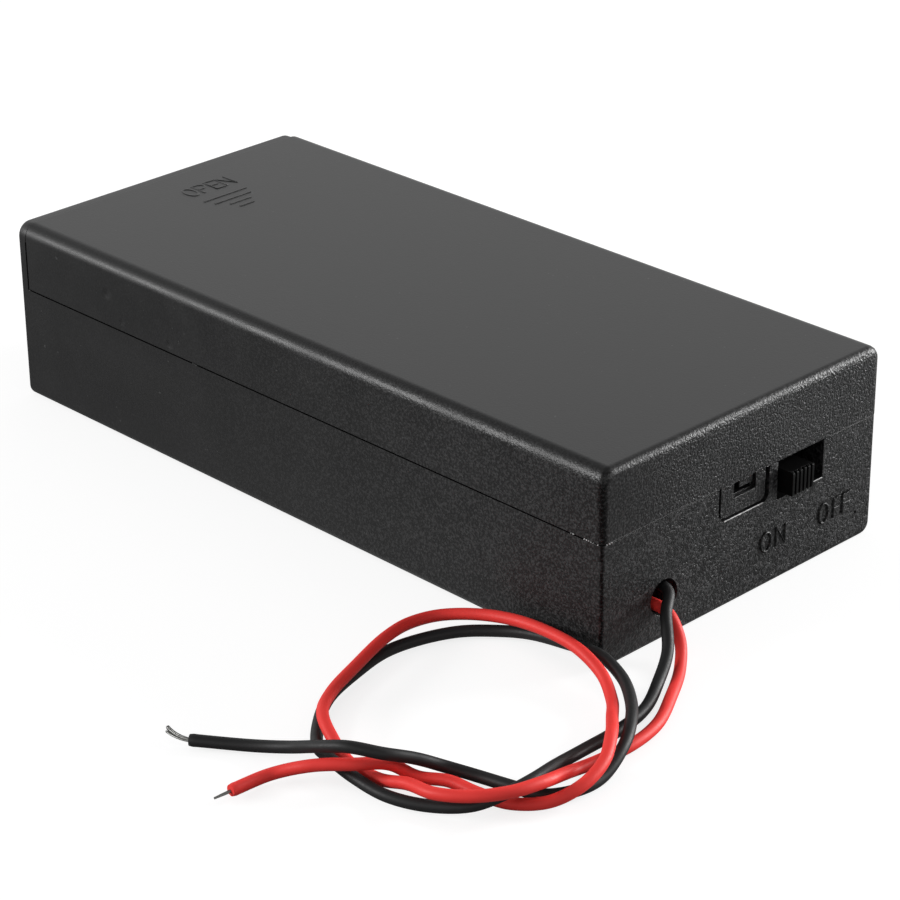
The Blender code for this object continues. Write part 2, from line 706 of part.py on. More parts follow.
def add_catch(cover):
    """The tongue that hangs from the end skirt into the window of the end wall."""
    catch = block(
        "catch",
        (SKIRT_INSIDE + SINK / 4 - CATCH_THICKNESS, CATCH_Y - CATCH_WIDTH / 2, SKIRT_EDGE - CATCH_DROP),
        (SKIRT_INSIDE + SINK / 4, CATCH_Y + CATCH_WIDTH / 2, SKIRT_EDGE + CATCH_RISE),
        [(both(along(1), on_side(2, -1)), CATCH_BARB / 2, 2)],
    )
    barb = rod(
        "catch_barb",
        (SKIRT_INSIDE + SINK / 4 - CATCH_THICKNESS, CATCH_Y, SKIRT_EDGE - CATCH_DROP + 2 * CATCH_BARB),
        "Y",
        CATCH_BARB,
        CATCH_WIDTH - 2 * CATCH_BARB,
        12,
    )
    join(catch, barb)
    join(cover, catch)


def switch_housing():
    """The open-backed shell of the switch, with the slot that the knob slides in."""
    housing = block(
        "switch_housing",
        (HOUSING_BACK, SWITCH_Y - HOUSING_WIDTH / 2, SWITCH_Z - HOUSING_HEIGHT / 2),
        (HOUSING_FACE, SWITCH_Y + HOUSING_WIDTH / 2, SWITCH_Z + HOUSING_HEIGHT / 2),
        [(along(0), HOUSING_RADIUS, 2)],
    )
    half_y = HOUSING_WIDTH / 2 - HOUSING_WALL
    half_z = HOUSING_HEIGHT / 2 - HOUSING_WALL
    cut(
        housing,
        block(
            "housing_cavity",
            (HOUSING_BACK - BEYOND, SWITCH_Y - half_y, SWITCH_Z - half_z),
            (HOUSING_FACE - HOUSING_FRONT, SWITCH_Y + half_y, SWITCH_Z + half_z),
        ),
    )
    slot_y = (STEM_WIDTH + KNOB_TRAVEL) / 2 + STEM_PLAY
    slot_z = STEM_HEIGHT / 2 + PIECE_GAP
    cut(
        housing,
        block(
            "housing_slot",
            (HOUSING_FACE - HOUSING_FRONT - BEYOND, SWITCH_Y - slot_y, SWITCH_Z - slot_z),
            (HOUSING_FACE + BEYOND, SWITCH_Y + slot_y, SWITCH_Z + slot_z),
        ),
    )
    return finish(housing, SWITCH_BLACK)


def switch_knob(axis):
    """Ribbed head, stem and inner slider in one moulding."""
    knob = block(
        "switch_knob",
        (KNOB_BACK, KNOB_Y - KNOB_WIDTH / 2, SWITCH_Z - KNOB_HEIGHT / 2),
        (KNOB_FRONT, KNOB_Y + KNOB_WIDTH / 2, SWITCH_Z + KNOB_HEIGHT / 2),
        [(both(along(1), on_side(0, 1)), KNOB_GROOVE_DEPTH / 2, 2)],
    )
    for number in range(KNOB_RIBS - 1):
        place = KNOB_Y + (number - (KNOB_RIBS - 2) / 2) * KNOB_RIB_PITCH
        groove = block(
            f"knob_groove_{number + 1}",
            (KNOB_FRONT - KNOB_GROOVE_DEPTH, place - KNOB_GROOVE_WIDTH / 2, SWITCH_Z - KNOB_HEIGHT),
            (KNOB_FRONT + BEYOND, place + KNOB_GROOVE_WIDTH / 2, SWITCH_Z + KNOB_HEIGHT),
        )
        cut(knob, groove)
    stem = block(
        "knob_stem",
        (SLIDER_FRONT - SINK, KNOB_Y - STEM_WIDTH / 2, SWITCH_Z - STEM_HEIGHT / 2),
        (KNOB_BACK + SINK, KNOB_Y + STEM_WIDTH / 2, SWITCH_Z + STEM_HEIGHT / 2),
    )
    join(knob, stem)
    slider = block(
        "knob_slider",
        (SLIDER_BACK, KNOB_Y - SLIDER_WIDTH / 2, SWITCH_Z - SLIDER_HEIGHT / 2),
        (SLIDER_FRONT, KNOB_Y + SLIDER_WIDTH / 2, SWITCH_Z + SLIDER_HEIGHT / 2),
    )
    recess_y = SLIDER_WIDTH / 2 - SLIDER_RECESS_WALL
    recess_z = SLIDER_HEIGHT / 2 - SLIDER_RECESS_WALL
    recess = block(
        "knob_recess",
        (SLIDER_BACK - BEYOND, KNOB_Y - recess_y, SWITCH_Z - recess_z),
        (SLIDER_BACK + SLIDER_RECESS_DEPTH, KNOB_Y + recess_y, SWITCH_Z + recess_z),
    )
    cut(slider, recess)
    join(knob, slider)
    hold(knob, axis)
    return finish(knob, SWITCH_BLACK)


def switch_contact(axis):
    """The sprung bridge in the slider's recess: a bent strip whose two arms press on the lugs' heads."""
    front = SLIDER_BACK + SLIDER_RECESS_DEPTH - PIECE_GAP - CLIP_THICKNESS / 2
    touch = LUG_HEAD_FRONT + PIECE_GAP + CLIP_THICKNESS * 0.7
    arm = LUG_PITCH / 2
    line = [(front, CLIP_MIDDLE), (touch, arm), (touch + CLIP_CURL, arm + CLIP_CURL)]
    line = [(x, -y) for x, y in reversed(line)] + line
    outline = strip_outline(line, CLIP_THICKNESS)
    place = Matrix.Translation((0, KNOB_Y, SWITCH_Z))
    clip = outline_prism("switch_contact", outline, CLIP_WIDTH, place)
    hold(clip, axis)
    return finish(clip, BRONZE)


def terminal_board():
    """The insulating board in the back of the housing, with a slot for each lug."""
    half_y = HOUSING_WIDTH / 2 - HOUSING_WALL - PIECE_GAP
    half_z = HOUSING_HEIGHT / 2 - HOUSING_WALL - PIECE_GAP
    board = block(
        "switch_terminal_board",
        (BOARD_BACK, SWITCH_Y - half_y, SWITCH_Z - half_z),
        (BOARD_FRONT, SWITCH_Y + half_y, SWITCH_Z + half_z),
    )
    for number, place in enumerate(lug_places(), 1):
        slot = block(
            f"lug_slot_{number}",
            (BOARD_BACK - BEYOND, place - LUG_WIDTH / 2 - PIECE_GAP, SWITCH_Z - LUG_THICKNESS / 2 - PIECE_GAP),
            (BOARD_FRONT + BEYOND, place + LUG_WIDTH / 2 + PIECE_GAP, SWITCH_Z + LUG_THICKNESS / 2 + PIECE_GAP),
        )
        cut(board, slot)
    return finish(board, PHENOLIC)


def lug_places():
    return [SWITCH_Y + step * LUG_PITCH for step in (-1, 0, 1)]


def lug(name, place, soldered):
    """A terminal: flat head inside, blade through the board, and a solder hole near the tip."""
    blade = block(
        name,
        (LUG_TIP, place - LUG_WIDTH / 2, SWITCH_Z - LUG_THICKNESS / 2),
        (LUG_HEAD_FRONT - LUG_HEAD_THICKNESS / 2, place + LUG_WIDTH / 2, SWITCH_Z + LUG_THICKNESS / 2),
        [(both(along(2), lambda edge: middle(edge).x < 0), LUG_WIDTH / 3, 3)],
    )
    head = block(
        name + "_head",
        (LUG_HEAD_FRONT - LUG_HEAD_THICKNESS, place - LUG_HEAD / 2, SWITCH_Z - LUG_HEAD / 2),
        (LUG_HEAD_FRONT, place + LUG_HEAD / 2, SWITCH_Z + LUG_HEAD / 2),
    )
    join(blade, head)
    if soldered:
        join(blade, solder(name + "_solder", (LUG_TIP + LUG_HOLE_INSET, place, SWITCH_Z)))
    else:
        hole = rod(name + "_hole", (LUG_TIP + LUG_HOLE_INSET, place, SWITCH_Z), "Z", LUG_HOLE_RADIUS, BEYOND, 16)
        cut(blade, hole)
    return finish(blade, TINNED)


def solder(name, place):
    """A drop of solder, round on both faces of what it covers."""
    mesh = bpy.data.meshes.new(name)
    bm = bmesh.new()
    bmesh.ops.create_uvsphere(bm, u_segments=12, v_segments=8, radius=SOLDER_RADIUS)
    bm.to_mesh(mesh)
    bm.free()
    drop = link(name, mesh)
    drop.location = place
    return drop


def plate(name, centre_y, width, face):
    """A flat contact plate standing across the bays; face is its side toward the cells, low X first."""
    low = FLOOR + PLATE_ABOVE_FLOOR
    return block(
        name,
        (face, centre_y - width / 2, low),
        (face + PLATE_THICKNESS, centre_y + width / 2, low + PLATE_HEIGHT),
        [(along(0), PLATE_RADIUS, 3)],
    )


def add_button(obj, name, face, centre_y, toward):
    """A hollow button pressed out of the sheet. toward is -1 or 1, the way it points along X."""
    axis = "X" if toward > 0 else "-X"
    sheet = PLATE_THICKNESS
    outer = rod(
        name + "_button",
        (face + toward * (BUTTON_HEIGHT - sheet / 2) / 2, centre_y, CELL_Z),
        axis,
        BUTTON_BASE_RADIUS,
        BUTTON_HEIGHT + sheet / 2,
        24,
        BUTTON_TOP_RADIUS,
    )
    join(obj, outer)
    inner = rod(
        name + "_hollow",
        (face + toward * (BUTTON_HEIGHT - sheet - BEYOND) / 2, centre_y, CELL_Z),
        axis,
        BUTTON_BASE_RADIUS + BEYOND * (BUTTON_BASE_RADIUS - BUTTON_TOP_RADIUS) / BUTTON_HEIGHT - sheet,
        BUTTON_HEIGHT - sheet + BEYOND,
        24,
        BUTTON_TOP_RADIUS - sheet,
    )
    cut(obj, inner)


def add_tab(obj, name, face, centre_y):
    """The solder tab, bent from the plate's top edge through the cross wall, with its drop of solder."""
    end = CHAMBER_START + TAB_LENGTH
    tab = block(
        name + "_tab",
        (face + PLATE_THICKNESS / 2, centre_y - TAB_WIDTH / 2, tab_height() - PLATE_THICKNESS),
        (end, centre_y + TAB_WIDTH / 2, tab_height()),
        [(both(along(2), lambda edge: middle(edge).x > 0), TAB_WIDTH / 4, 3)],
    )
    join(obj, tab)
    join(obj, solder(name + "_solder", (end - SOLDER_RADIUS / 3, centre_y, tab_height() - PLATE_THICKNESS / 2)))


def add_hooks(obj, name, face, centre_y, toward):
    """Lanced hooks that fold over the first turn of the spring."""
    wire_out = SPRING_BASE_RADIUS + SPRING_WIRE / 2 + PIECE_GAP
    leg = PIECE_GAP * 2 + SPRING_WIRE + HOOK_THICKNESS
    outline = [
        (-toward * PLATE_THICKNESS / 2, wire_out),
        (toward * (leg - HOOK_THICKNESS), wire_out),
        (toward * (leg - HOOK_THICKNESS), wire_out - HOOK_REACH),
        (toward * leg, wire_out - HOOK_REACH),
        (toward * leg, wire_out + HOOK_THICKNESS),
        (-toward * PLATE_THICKNESS / 2, wire_out + HOOK_THICKNESS),
    ]
    for number, angle in enumerate(HOOK_DEGREES, 1):
        place = Matrix.Translation((face, centre_y, CELL_Z)) @ Matrix.Rotation(math.radians(angle), 4, "X")
        join(obj, outline_prism(f"{name}_hook_{number}", outline, HOOK_WIDTH, place))


def positive_contact():
    face = BAY_END - PIECE_GAP - PLATE_THICKNESS
    obj = plate("positive_contact", BAY_Y, PLATE_WIDTH, face)
    add_button(obj, "positive", face, BAY_Y, -1)
    add_tab(obj, "positive", face, BAY_Y + POSITIVE_TAB_OFFSET)
    return finish(obj, NICKEL)


def negative_contact():
    face = BAY_END - PIECE_GAP - PLATE_THICKNESS
    obj = plate("negative_contact", -BAY_Y, PLATE_WIDTH, face)
    add_hooks(obj, "negative", face, -BAY_Y, -1)
    add_tab(obj, "negative", face, -BAY_Y)
    return finish(obj, NICKEL)


def bridge_contact():
    """The far-end plate that joins both bays, waisted between them."""
    face = BAY_START + PIECE_GAP + PLATE_THICKNESS
    obj = plate("bridge_contact", 0.0, 2 * BAY_Y + PLATE_WIDTH, face - PLATE_THICKNESS)
    low = FLOOR + PLATE_ABOVE_FLOOR
    waist = (PLATE_HEIGHT - BRIDGE_NECK_HEIGHT) / 2
    for word, start, end in (
        ("low", low - BEYOND, low + waist),
        ("high", low + PLATE_HEIGHT - waist, low + PLATE_HEIGHT + BEYOND),
    ):
        notch = block(
            f"bridge_waist_{word}",
            (face - PLATE_THICKNESS - BEYOND, -BRIDGE_NECK_LENGTH / 2, start),
            (face + BEYOND, BRIDGE_NECK_LENGTH / 2, end),
            [(along(0), BRIDGE_NECK_LENGTH / 4, 3)],
        )
        cut(obj, notch)
    add_button(obj, "bridge", face, -BAY_Y, 1)
    add_hooks(obj, "bridge", face, BAY_Y, 1)
    return finish(obj, NICKEL)


def spring(name, face, centre_y, toward):
    """A conical coil: a flat first turn on the plate, open turns, and a flat turn at the narrow tip."""
    start = face + toward * (PIECE_GAP + SPRING_WIRE / 2)
    rise = SPRING_LENGTH - PIECE_GAP - SPRING_WIRE
    open_turns = SPRING_TURNS - SPRING_FLAT_TURNS - SPRING_TIP_FLAT_TURNS
    points = []
    count = round(SPRING_TURNS * SPRING_POINTS_A_TURN)
    for number in range(count + 1):
        turns = SPRING_TURNS * number / count
        angle = math.radians(SPRING_START_DEGREES) + 2 * math.pi * turns
        climb = min(max((turns - SPRING_FLAT_TURNS) / open_turns, 0.0), 1.0)
        radius = SPRING_BASE_RADIUS + (SPRING_TIP_RADIUS - SPRING_BASE_RADIUS) * climb
        points.append(
            (
                start + toward * rise * climb,
                centre_y + radius * math.cos(angle),
                CELL_Z + radius * math.sin(angle),
            )
        )
    return finish_curve(tube(name, points, SPRING_WIRE), SPRING_STEEL)


def finish_curve(obj, surface):
    obj.data.materials.append(surface)
    return obj


def lead(name, route, surface, bare_length=0.0, spacing=LEAD_POINT_SPACING):
    """An insulated wire along a route in millimetres and, where it ends bare, its stripped conductor."""
    places = [(END_FACE + x * MM, y * MM, z * MM) for x, y, z in route]
    points = smooth_route(places, spacing * LEAD_DIAMETER)
    made = [finish_curve(tube(name, points, LEAD_DIAMETER), surface)]
    if bare_length:
        heading = (points[-1] - points[-2]).normalized()
        start = points[-1] + heading * PIECE_GAP
        end = points[-1] + heading * bare_length
        bare = tube(name + "_conductor", [start, start.lerp(end, 0.5), end], CONDUCTOR_DIAMETER)
        made.append(finish_curve(bare, TINNED))
    return made


def joint_axis(name, place):
    """An empty on a joint's axis, which carries the pieces that move on it."""
    axis = bpy.data.objects.new(name, None)
    axis.empty_display_type = "ARROWS"
    axis.empty_display_size = 0.005
    axis.location = place
    PARTS.objects.link(axis)
    return axis


def hold(obj, axis):
    """Parent a piece to its joint's axis without moving it."""
    bpy.context.view_layer.update()
    world = obj.matrix_world.copy()
    obj.parent = axis
    obj.matrix_parent_inverse = axis.matrix_world.inverted()
    obj.matrix_world = world


clear_scene()
PARTS = new_collection("battery_holder_with_switch")
CUTTERS = new_collection("cutters")
CUTTERS.hide_render = True

ABS_BLACK = material("abs_black", (0.022, 0.022, 0.023), 0.5)
SWITCH_BLACK = material("switch_black", (0.012, 0.012, 0.013), 0.45)
PHENOLIC = material("phenolic_brown", (0.16, 0.07, 0.03), 0.6)
NICKEL = material("nickel_plated_steel", (0.62, 0.60, 0.56), 0.28, 1.0)
SPRING_STEEL = material("spring_steel", (0.55, 0.54, 0.51), 0.25, 1.0)
BRONZE = material("phosphor_bronze", (0.62, 0.38, 0.20), 0.3, 1.0)
TINNED = material("tinned_copper", (0.66, 0.65, 0.62), 0.35, 1.0)
PVC_RED = material("pvc_red", (0.72, 0.035, 0.03), 0.35)
PVC_BLACK = material("pvc_black", (0.02, 0.02, 0.021), 0.35)

case_base()
cover_axis = joint_axis("cover_slide_axis", (MIDDLE, 0, HEIGHT))
hold(sliding_cover(), cover_axis)
switch_axis = joint_axis("switch_slide_axis", (KNOB_FRONT, SWITCH_Y, SWITCH_Z))
switch_housing()
switch_knob(switch_axis)
switch_contact(switch_axis)
terminal_board()
lug("switch_terminal_on", lug_places()[0], True)
lug("switch_terminal_common", lug_places()[1], True)
lug("switch_terminal_off", lug_places()[2], False)
positive_contact()
negative_contact()
bridge_contact()
spring("negative_spring", BAY_END - PIECE_GAP - PLATE_THICKNESS, -BAY_Y, -1)
spring("bridge_spring", BAY_START + PIECE_GAP + PLATE_THICKNESS, BAY_Y, 1)
lead("lead_black", BLACK_ROUTE, PVC_BLACK, BLACK_BARE_LENGTH)
lead("lead_red", RED_ROUTE, PVC_RED, RED_BARE_LENGTH)
lead("jumper_wire", JUMPER_ROUTE, PVC_RED, spacing=JUMPER_SPACING)
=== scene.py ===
import math

import bmesh
import bpy
from mathutils import Matrix, Vector


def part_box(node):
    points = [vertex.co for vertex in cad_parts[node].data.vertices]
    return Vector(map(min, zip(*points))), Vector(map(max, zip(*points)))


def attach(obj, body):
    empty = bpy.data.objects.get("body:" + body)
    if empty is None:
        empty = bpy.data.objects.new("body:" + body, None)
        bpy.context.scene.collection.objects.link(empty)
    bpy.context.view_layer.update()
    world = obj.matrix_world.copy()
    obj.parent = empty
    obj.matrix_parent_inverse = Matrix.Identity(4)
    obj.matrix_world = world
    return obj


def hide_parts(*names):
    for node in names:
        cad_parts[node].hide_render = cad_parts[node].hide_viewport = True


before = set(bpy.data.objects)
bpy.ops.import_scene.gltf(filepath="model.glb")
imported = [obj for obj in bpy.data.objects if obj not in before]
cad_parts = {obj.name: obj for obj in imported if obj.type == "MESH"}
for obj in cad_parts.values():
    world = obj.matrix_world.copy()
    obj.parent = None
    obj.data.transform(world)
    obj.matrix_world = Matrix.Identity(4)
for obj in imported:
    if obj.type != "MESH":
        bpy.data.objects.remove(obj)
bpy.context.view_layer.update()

MM = 0.001

case_low, case_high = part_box("case_base")
cover_low, cover_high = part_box("sliding_cover")
END_FACE = cover_high.x
BASE_END = case_high.x
NEAR_SIDE = cover_low.y
BASE_SIDE = case_low.y
MIDDLE = (case_low.x + END_FACE) / 2
FAR_GAP = MIDDLE - 0.04485
TOP = cover_high.z
SKIRT_EDGE = 0.0141

PHOTO_AZIMUTH, PHOTO_ELEVATION, PHOTO_ROLL = 45.748, 26.064, -0.482
PHOTO_LENS = 122.411
PHOTO_PLACE = (MIDDLE + 0.224676, -0.215683, 0.153494)

scene = bpy.context.scene
scene.view_settings.view_transform = "Standard"


# Camera

def picture_camera():
    """The photograph's own view of the box, with its slight tilt."""
    azimuth = math.radians(PHOTO_AZIMUTH)
    elevation = math.radians(PHOTO_ELEVATION)
    roll = math.radians(PHOTO_ROLL)
    back = Vector((
        math.sin(azimuth) * math.cos(elevation),
        -math.cos(azimuth) * math.cos(elevation),
        math.sin(elevation),
    ))
    right = Vector((math.cos(azimuth), math.sin(azimuth), 0.0))
    up = back.cross(right)
    right_rolled = right * math.cos(roll) + up * math.sin(roll)
    up_rolled = up * math.cos(roll) - right * math.sin(roll)
    data = bpy.data.cameras.new("picture_camera")
    data.sensor_width = 36.0
    data.lens = PHOTO_LENS
    data.clip_start = 0.01
    data.clip_end = 20.0
    camera = bpy.data.objects.new("picture_camera", data)
    scene.collection.objects.link(camera)
    turn = Matrix((right_rolled, up_rolled, back)).transposed().to_4x4()
    camera.matrix_world = Matrix.Translation(PHOTO_PLACE) @ turn
    scene.camera = camera


# Nodes

def step(tree, kind, given=(), **settings):
    """One node with its settings, its sockets set or linked by name."""
    made = tree.nodes.new(kind)
    for key, value in settings.items():
        setattr(made, key, value)
    for label, value in dict(given).items():
        if isinstance(value, bpy.types.NodeSocket):
            tree.links.new(value, made.inputs[label])
        else:
            made.inputs[label].default_value = value
    return made


def combine(tree, operation, first, second=0.0):
    made = step(tree, "ShaderNodeMath", operation=operation)
    for socket, value in zip(made.inputs, (first, second)):
        if isinstance(value, bpy.types.NodeSocket):
            tree.links.new(value, socket)
        else:
            socket.default_value = value
    return made.outputs["Value"]


def vector_math(tree, operation, first, second, scale=None):
    made = step(tree, "ShaderNodeVectorMath", operation=operation)
    for socket, value in zip(made.inputs, (first, second)):
        if isinstance(value, bpy.types.NodeSocket):
            tree.links.new(value, socket)
        else:
            socket.default_value = value
    if scale is not None:
        tree.links.new(scale, made.inputs["Scale"])
    return made


# Materials

def shader_nodes(name, colour, roughness, metallic=0.0, specular=0.5):
    """A new material with its Principled BSDF, ready for the surface's own nodes."""
    made = bpy.data.materials.new(name)
    made.use_nodes = True
    shader = made.node_tree.nodes["Principled BSDF"]
    shader.inputs["Base Color"].default_value = (*colour, 1.0)
    shader.inputs["Roughness"].default_value = roughness
    shader.inputs["Metallic"].default_value = metallic
    shader.inputs["Specular IOR Level"].default_value = specular
    return made, made.node_tree, shader


def own_place(tree, scale=(1, 1, 1)):
    """The point on the piece, stretched by a scale."""
    place = step(tree, "ShaderNodeTexCoord")
    return step(tree, "ShaderNodeMapping", {"Vector": place.outputs["Object"], "Scale": scale}).outputs["Vector"]


def grain(tree, place, size, detail=2.0, roughness=0.5, distortion=0.0):
    """Noise whose features are about the given size in metres."""
    noise = step(tree, "ShaderNodeTexNoise", {
        "Vector": place, "Scale": 1.0 / size, "Detail": detail, "Roughness": roughness, "Distortion": distortion,
    })
    return noise.outputs["Fac"]


def remap(tree, value, low, high, to_low, to_high, soft=False):
    made = step(tree, "ShaderNodeMapRange", {
        "Value": value, "From Min": low, "From Max": high, "To Min": to_low, "To Max": to_high,
    }, interpolation_type="SMOOTHSTEP" if soft else "LINEAR")
    return made.outputs["Result"]


def shade(tree, value, dark, light):
    """A colour between two, by a value from 0 to 1."""
    made = step(tree, "ShaderNodeMix", data_type="RGBA")
    made.inputs["A"].default_value = (*dark, 1.0)
    made.inputs["B"].default_value = (*light, 1.0)
    tree.links.new(value, made.inputs["Factor"])
    return made.outputs["Result"]


def dimple(tree, place, centre, radius, depth):
    """A soft hollow round a point, from 0 at its rim to its depth in the middle."""
    away = vector_math(tree, "DISTANCE", place, centre).outputs["Value"]
    return remap(tree, away, 0.0, radius, -depth, 0.0, True)


def relief(tree, shader, height, depth, edge=None):
    """Bump of a height field, on edges that are softened where a radius is given."""
    bump = step(tree, "ShaderNodeBump", {"Height": height, "Strength": 1.0, "Distance": depth})
    if edge:
        soft_edge = step(tree, "ShaderNodeBevel", {"Radius": edge}, samples=4)
        tree.links.new(soft_edge.outputs["Normal"], bump.inputs["Normal"])
    tree.links.new(bump.outputs["Normal"], shader.inputs["Normal"])


FINE_GRAIN = 0.00027
COARSE_GRAIN = 0.0009
STREAK_GRAIN = 0.00024
GRAIN_DEPTH = 0.00013
SOFT_EDGE = 0.00010
DUST_SIZE = 0.00045
SMUDGE_SIZE = 0.007

# Middle of each mark, its radius in metres, and its depth as a share of GRAIN_DEPTH
SHRINK_MARKS = [
    ((MIDDLE + 0.03043, BASE_SIDE, 0.00649), 0.0014, 0.7),
    ((MIDDLE - 0.02996, NEAR_SIDE, 0.01795), 0.0009, 0.8),
    ((MIDDLE - 0.02750, NEAR_SIDE, 0.01520), 0.0006, 0.45),
    ((MIDDLE - 0.01920, NEAR_SIDE, 0.01505), 0.0007, 0.8),
]


def spark_eroded_abs(name, streaks=False):
    """Black moulded plastic: grain on upright faces, almost none on top, soft hollows of shrinkage. Its colour holds
    painted glints in specks on the grain, and painted shade on the upright rounded corners.
    """
    made, tree, shader = shader_nodes(name, (0.008, 0.008, 0.0083), 0.40, specular=0.40)
    place = own_place(tree)
    facing = step(tree, "ShaderNodeSeparateXYZ", {"Vector": step(tree, "ShaderNodeTexCoord").outputs["Normal"]})
    spot = step(tree, "ShaderNodeSeparateXYZ", {"Vector": place})
    end = combine(tree, "POWER", combine(tree, "ABSOLUTE", facing.outputs["X"]), 2.0)
    side = combine(tree, "POWER", combine(tree, "ABSOLUTE", facing.outputs["Y"]), 2.0)

    fine = grain(tree, place, FINE_GRAIN, 2.0, 0.6)
    coarse = grain(tree, place, COARSE_GRAIN, 2.0)
    height = combine(tree, "ADD", fine, combine(tree, "MULTIPLY", coarse, 0.4))
    if streaks:
        drawn = grain(tree, own_place(tree, (1.0, 1.0, 0.14)), STREAK_GRAIN, 2.0, 0.6)
        near_corner = remap(tree, spot.outputs["Y"], NEAR_SIDE + 0.010, NEAR_SIDE + 0.002, 0.0, 0.45, True)
        near_corner = combine(tree, "MULTIPLY", near_corner, end)
        height = step(tree, "ShaderNodeMix", {"Factor": near_corner, "A": height, "B": drawn}).outputs["Result"]
    toward_end = remap(tree, spot.outputs["X"], MIDDLE - 0.03, END_FACE, 0.06, 0.55, True)
    from_corner = remap(tree, spot.outputs["Y"], NEAR_SIDE + 0.001, NEAR_SIDE + 0.014, 0.55, 1.0, True)
    amount = combine(tree, "MULTIPLY", end, from_corner)
    amount = combine(tree, "ADD", amount, combine(tree, "MULTIPLY", side, toward_end))
    height = combine(tree, "MULTIPLY", height, combine(tree, "ADD", amount, 0.08))
    for centre, radius, depth in SHRINK_MARKS:
        height = combine(tree, "ADD", height, dimple(tree, place, centre, radius, depth))
    relief(tree, shader, height, GRAIN_DEPTH, edge=SOFT_EDGE)

    clouds = grain(tree, place, SMUDGE_SIZE, 3.0, 0.55)
    smudges = remap(tree, clouds, 0.35, 0.7, -0.05, 0.05, True)
    upright = combine(tree, "ADD", end, side)
    smudged = combine(tree, "ADD", combine(tree, "MULTIPLY", smudges, upright), 0.41)
    smudged = combine(tree, "SUBTRACT", smudged, combine(tree, "MULTIPLY", amount, 0.05))
    # Painted shade: the upright rounded corners get a darker colour, less sheen and a lower roughness.
    corner = combine(tree, "MULTIPLY", combine(tree, "MULTIPLY", end, side), 4.0)
    smudged = combine(tree, "SUBTRACT", smudged, combine(tree, "MULTIPLY", corner, 0.17))
    tree.links.new(smudged, shader.inputs["Roughness"])
    sheen = combine(tree, "SUBTRACT", 0.40, combine(tree, "MULTIPLY", corner, 0.27))
    tree.links.new(sheen, shader.inputs["Specular IOR Level"])
    dust = remap(tree, grain(tree, place, DUST_SIZE, 1.0), 0.76, 0.80, 0.0, 1.0)
    # Painted highlight: the colour is lightened in specks with the fine grain, standing in for glints of light on
    # it, most where the grain amount is high.
    painted_glints_and_corner_shade = remap(tree, fine, 0.45, 0.65, -0.32, 1.0)
    painted_glints_and_corner_shade = combine(tree, "ADD", combine(tree, "MULTIPLY", painted_glints_and_corner_shade, amount), 0.18)
    # Painted shade: the colour is darkened on the upright rounded corners.
    painted_glints_and_corner_shade = combine(tree, "SUBTRACT", painted_glints_and_corner_shade, combine(tree, "MULTIPLY", corner, 0.12))
    plastic = shade(tree, painted_glints_and_corner_shade, (0.002, 0.002, 0.0021), (0.055, 0.055, 0.056))
    dusty = step(tree, "ShaderNodeMix", {"Factor": dust}, data_type="RGBA")
    tree.links.new(plastic, dusty.inputs["A"])
    dusty.inputs["B"].default_value = (0.055, 0.055, 0.055, 1.0)
    tree.links.new(dusty.outputs["Result"], shader.inputs["Base Color"])
    return made


def two_grey_blotched_plastic(name, dark, light, roughness=0.3, specular=0.5):
    """Plastic in blotches of two greys, used for torn flash and for the pale and black lines and specks that are
    painted highlights and painted shade.
    """
    made, tree, shader = shader_nodes(name, (light, light, light), roughness, specular=specular)
    blotch = grain(tree, own_place(tree), 0.0004, 2.0)
    blotch = remap(tree, blotch, 0.35, 0.65, 0.0, 1.0)
    tree.links.new(shade(tree, blotch, (dark, dark, dark), (light, light, light)), shader.inputs["Base Color"])
    return made


def switch_plastic():
    made, tree, shader = shader_nodes("switch_plastic", (0.003, 0.003, 0.003), 0.36, specular=0.14)
    fine = grain(tree, own_place(tree), 0.00025, 2.0)
    tree.links.new(shade(tree, fine, (0.002, 0.002, 0.002), (0.004, 0.004, 0.0041)), shader.inputs["Base Color"])
    relief(tree, shader, fine, 0.000008, edge=0.00008)
    return made


def wire_insulation(name, colour, deeper, specular):
    """Extruded soft plastic with faint flow along it and a dull, slightly handled gloss."""
    made, tree, shader = shader_nodes(name, colour, 0.4, specular=specular)
    place = own_place(tree)
    soft = grain(tree, place, 0.0022, 2.0)
    fine = grain(tree, place, 0.0003, 2.0)
    tree.links.new(shade(tree, soft, deeper, colour), shader.inputs["Base Color"])
    tree.links.new(remap(tree, fine, 0.3, 0.7, 0.46, 0.56), shader.inputs["Roughness"])
    relief(tree, shader, fine, 0.000006)
    return made


def bright_metal(name, colour, roughness, size=0.0012, depth=0.000006, edge=None):
    made, tree, shader = shader_nodes(name, colour, roughness, 1.0)
    place = own_place(tree)
    blotch = grain(tree, place, size, 3.0)
    tree.links.new(remap(tree, blotch, 0.3, 0.7, roughness * 0.75, roughness * 1.4), shader.inputs["Roughness"])
    dull = tuple(0.82 * channel for channel in colour)
    tree.links.new(shade(tree, remap(tree, blotch, 0.35, 0.65, 0.0, 1.0), dull, colour), shader.inputs["Base Color"])
    relief(tree, shader, grain(tree, place, size / 5, 2.0), depth, edge)
    return made


def pressed_board():
    """Brown phenolic board with its paper fibres along the height."""
    made, tree, shader = shader_nodes("pressed_board", (0.2, 0.1, 0.04), 0.6)
    fibre = grain(tree, own_place(tree, (1.0, 1.0, 4.0)), 0.0008, 3.0)
    tree.links.new(shade(tree, fibre, (0.13, 0.06, 0.025), (0.26, 0.14, 0.06)), shader.inputs["Base Color"])
    relief(tree, shader, fibre, 0.00002)
    return made


# Geometry trees

def growth_tree(name, inputs):
    """An empty geometry tree with its named inputs."""
    tree = bpy.data.node_groups.new(name, "GeometryNodeTree")
    tree.interface.new_socket("Geometry", in_out="INPUT", socket_type="NodeSocketGeometry")
    for label, kind, value in inputs:
        socket = tree.interface.new_socket(label, in_out="INPUT", socket_type=kind)
        if value is not None:
            socket.default_value = value
    tree.interface.new_socket("Geometry", in_out="OUTPUT", socket_type="NodeSocketGeometry")
    return tree, tree.nodes.new("NodeGroupInput").outputs


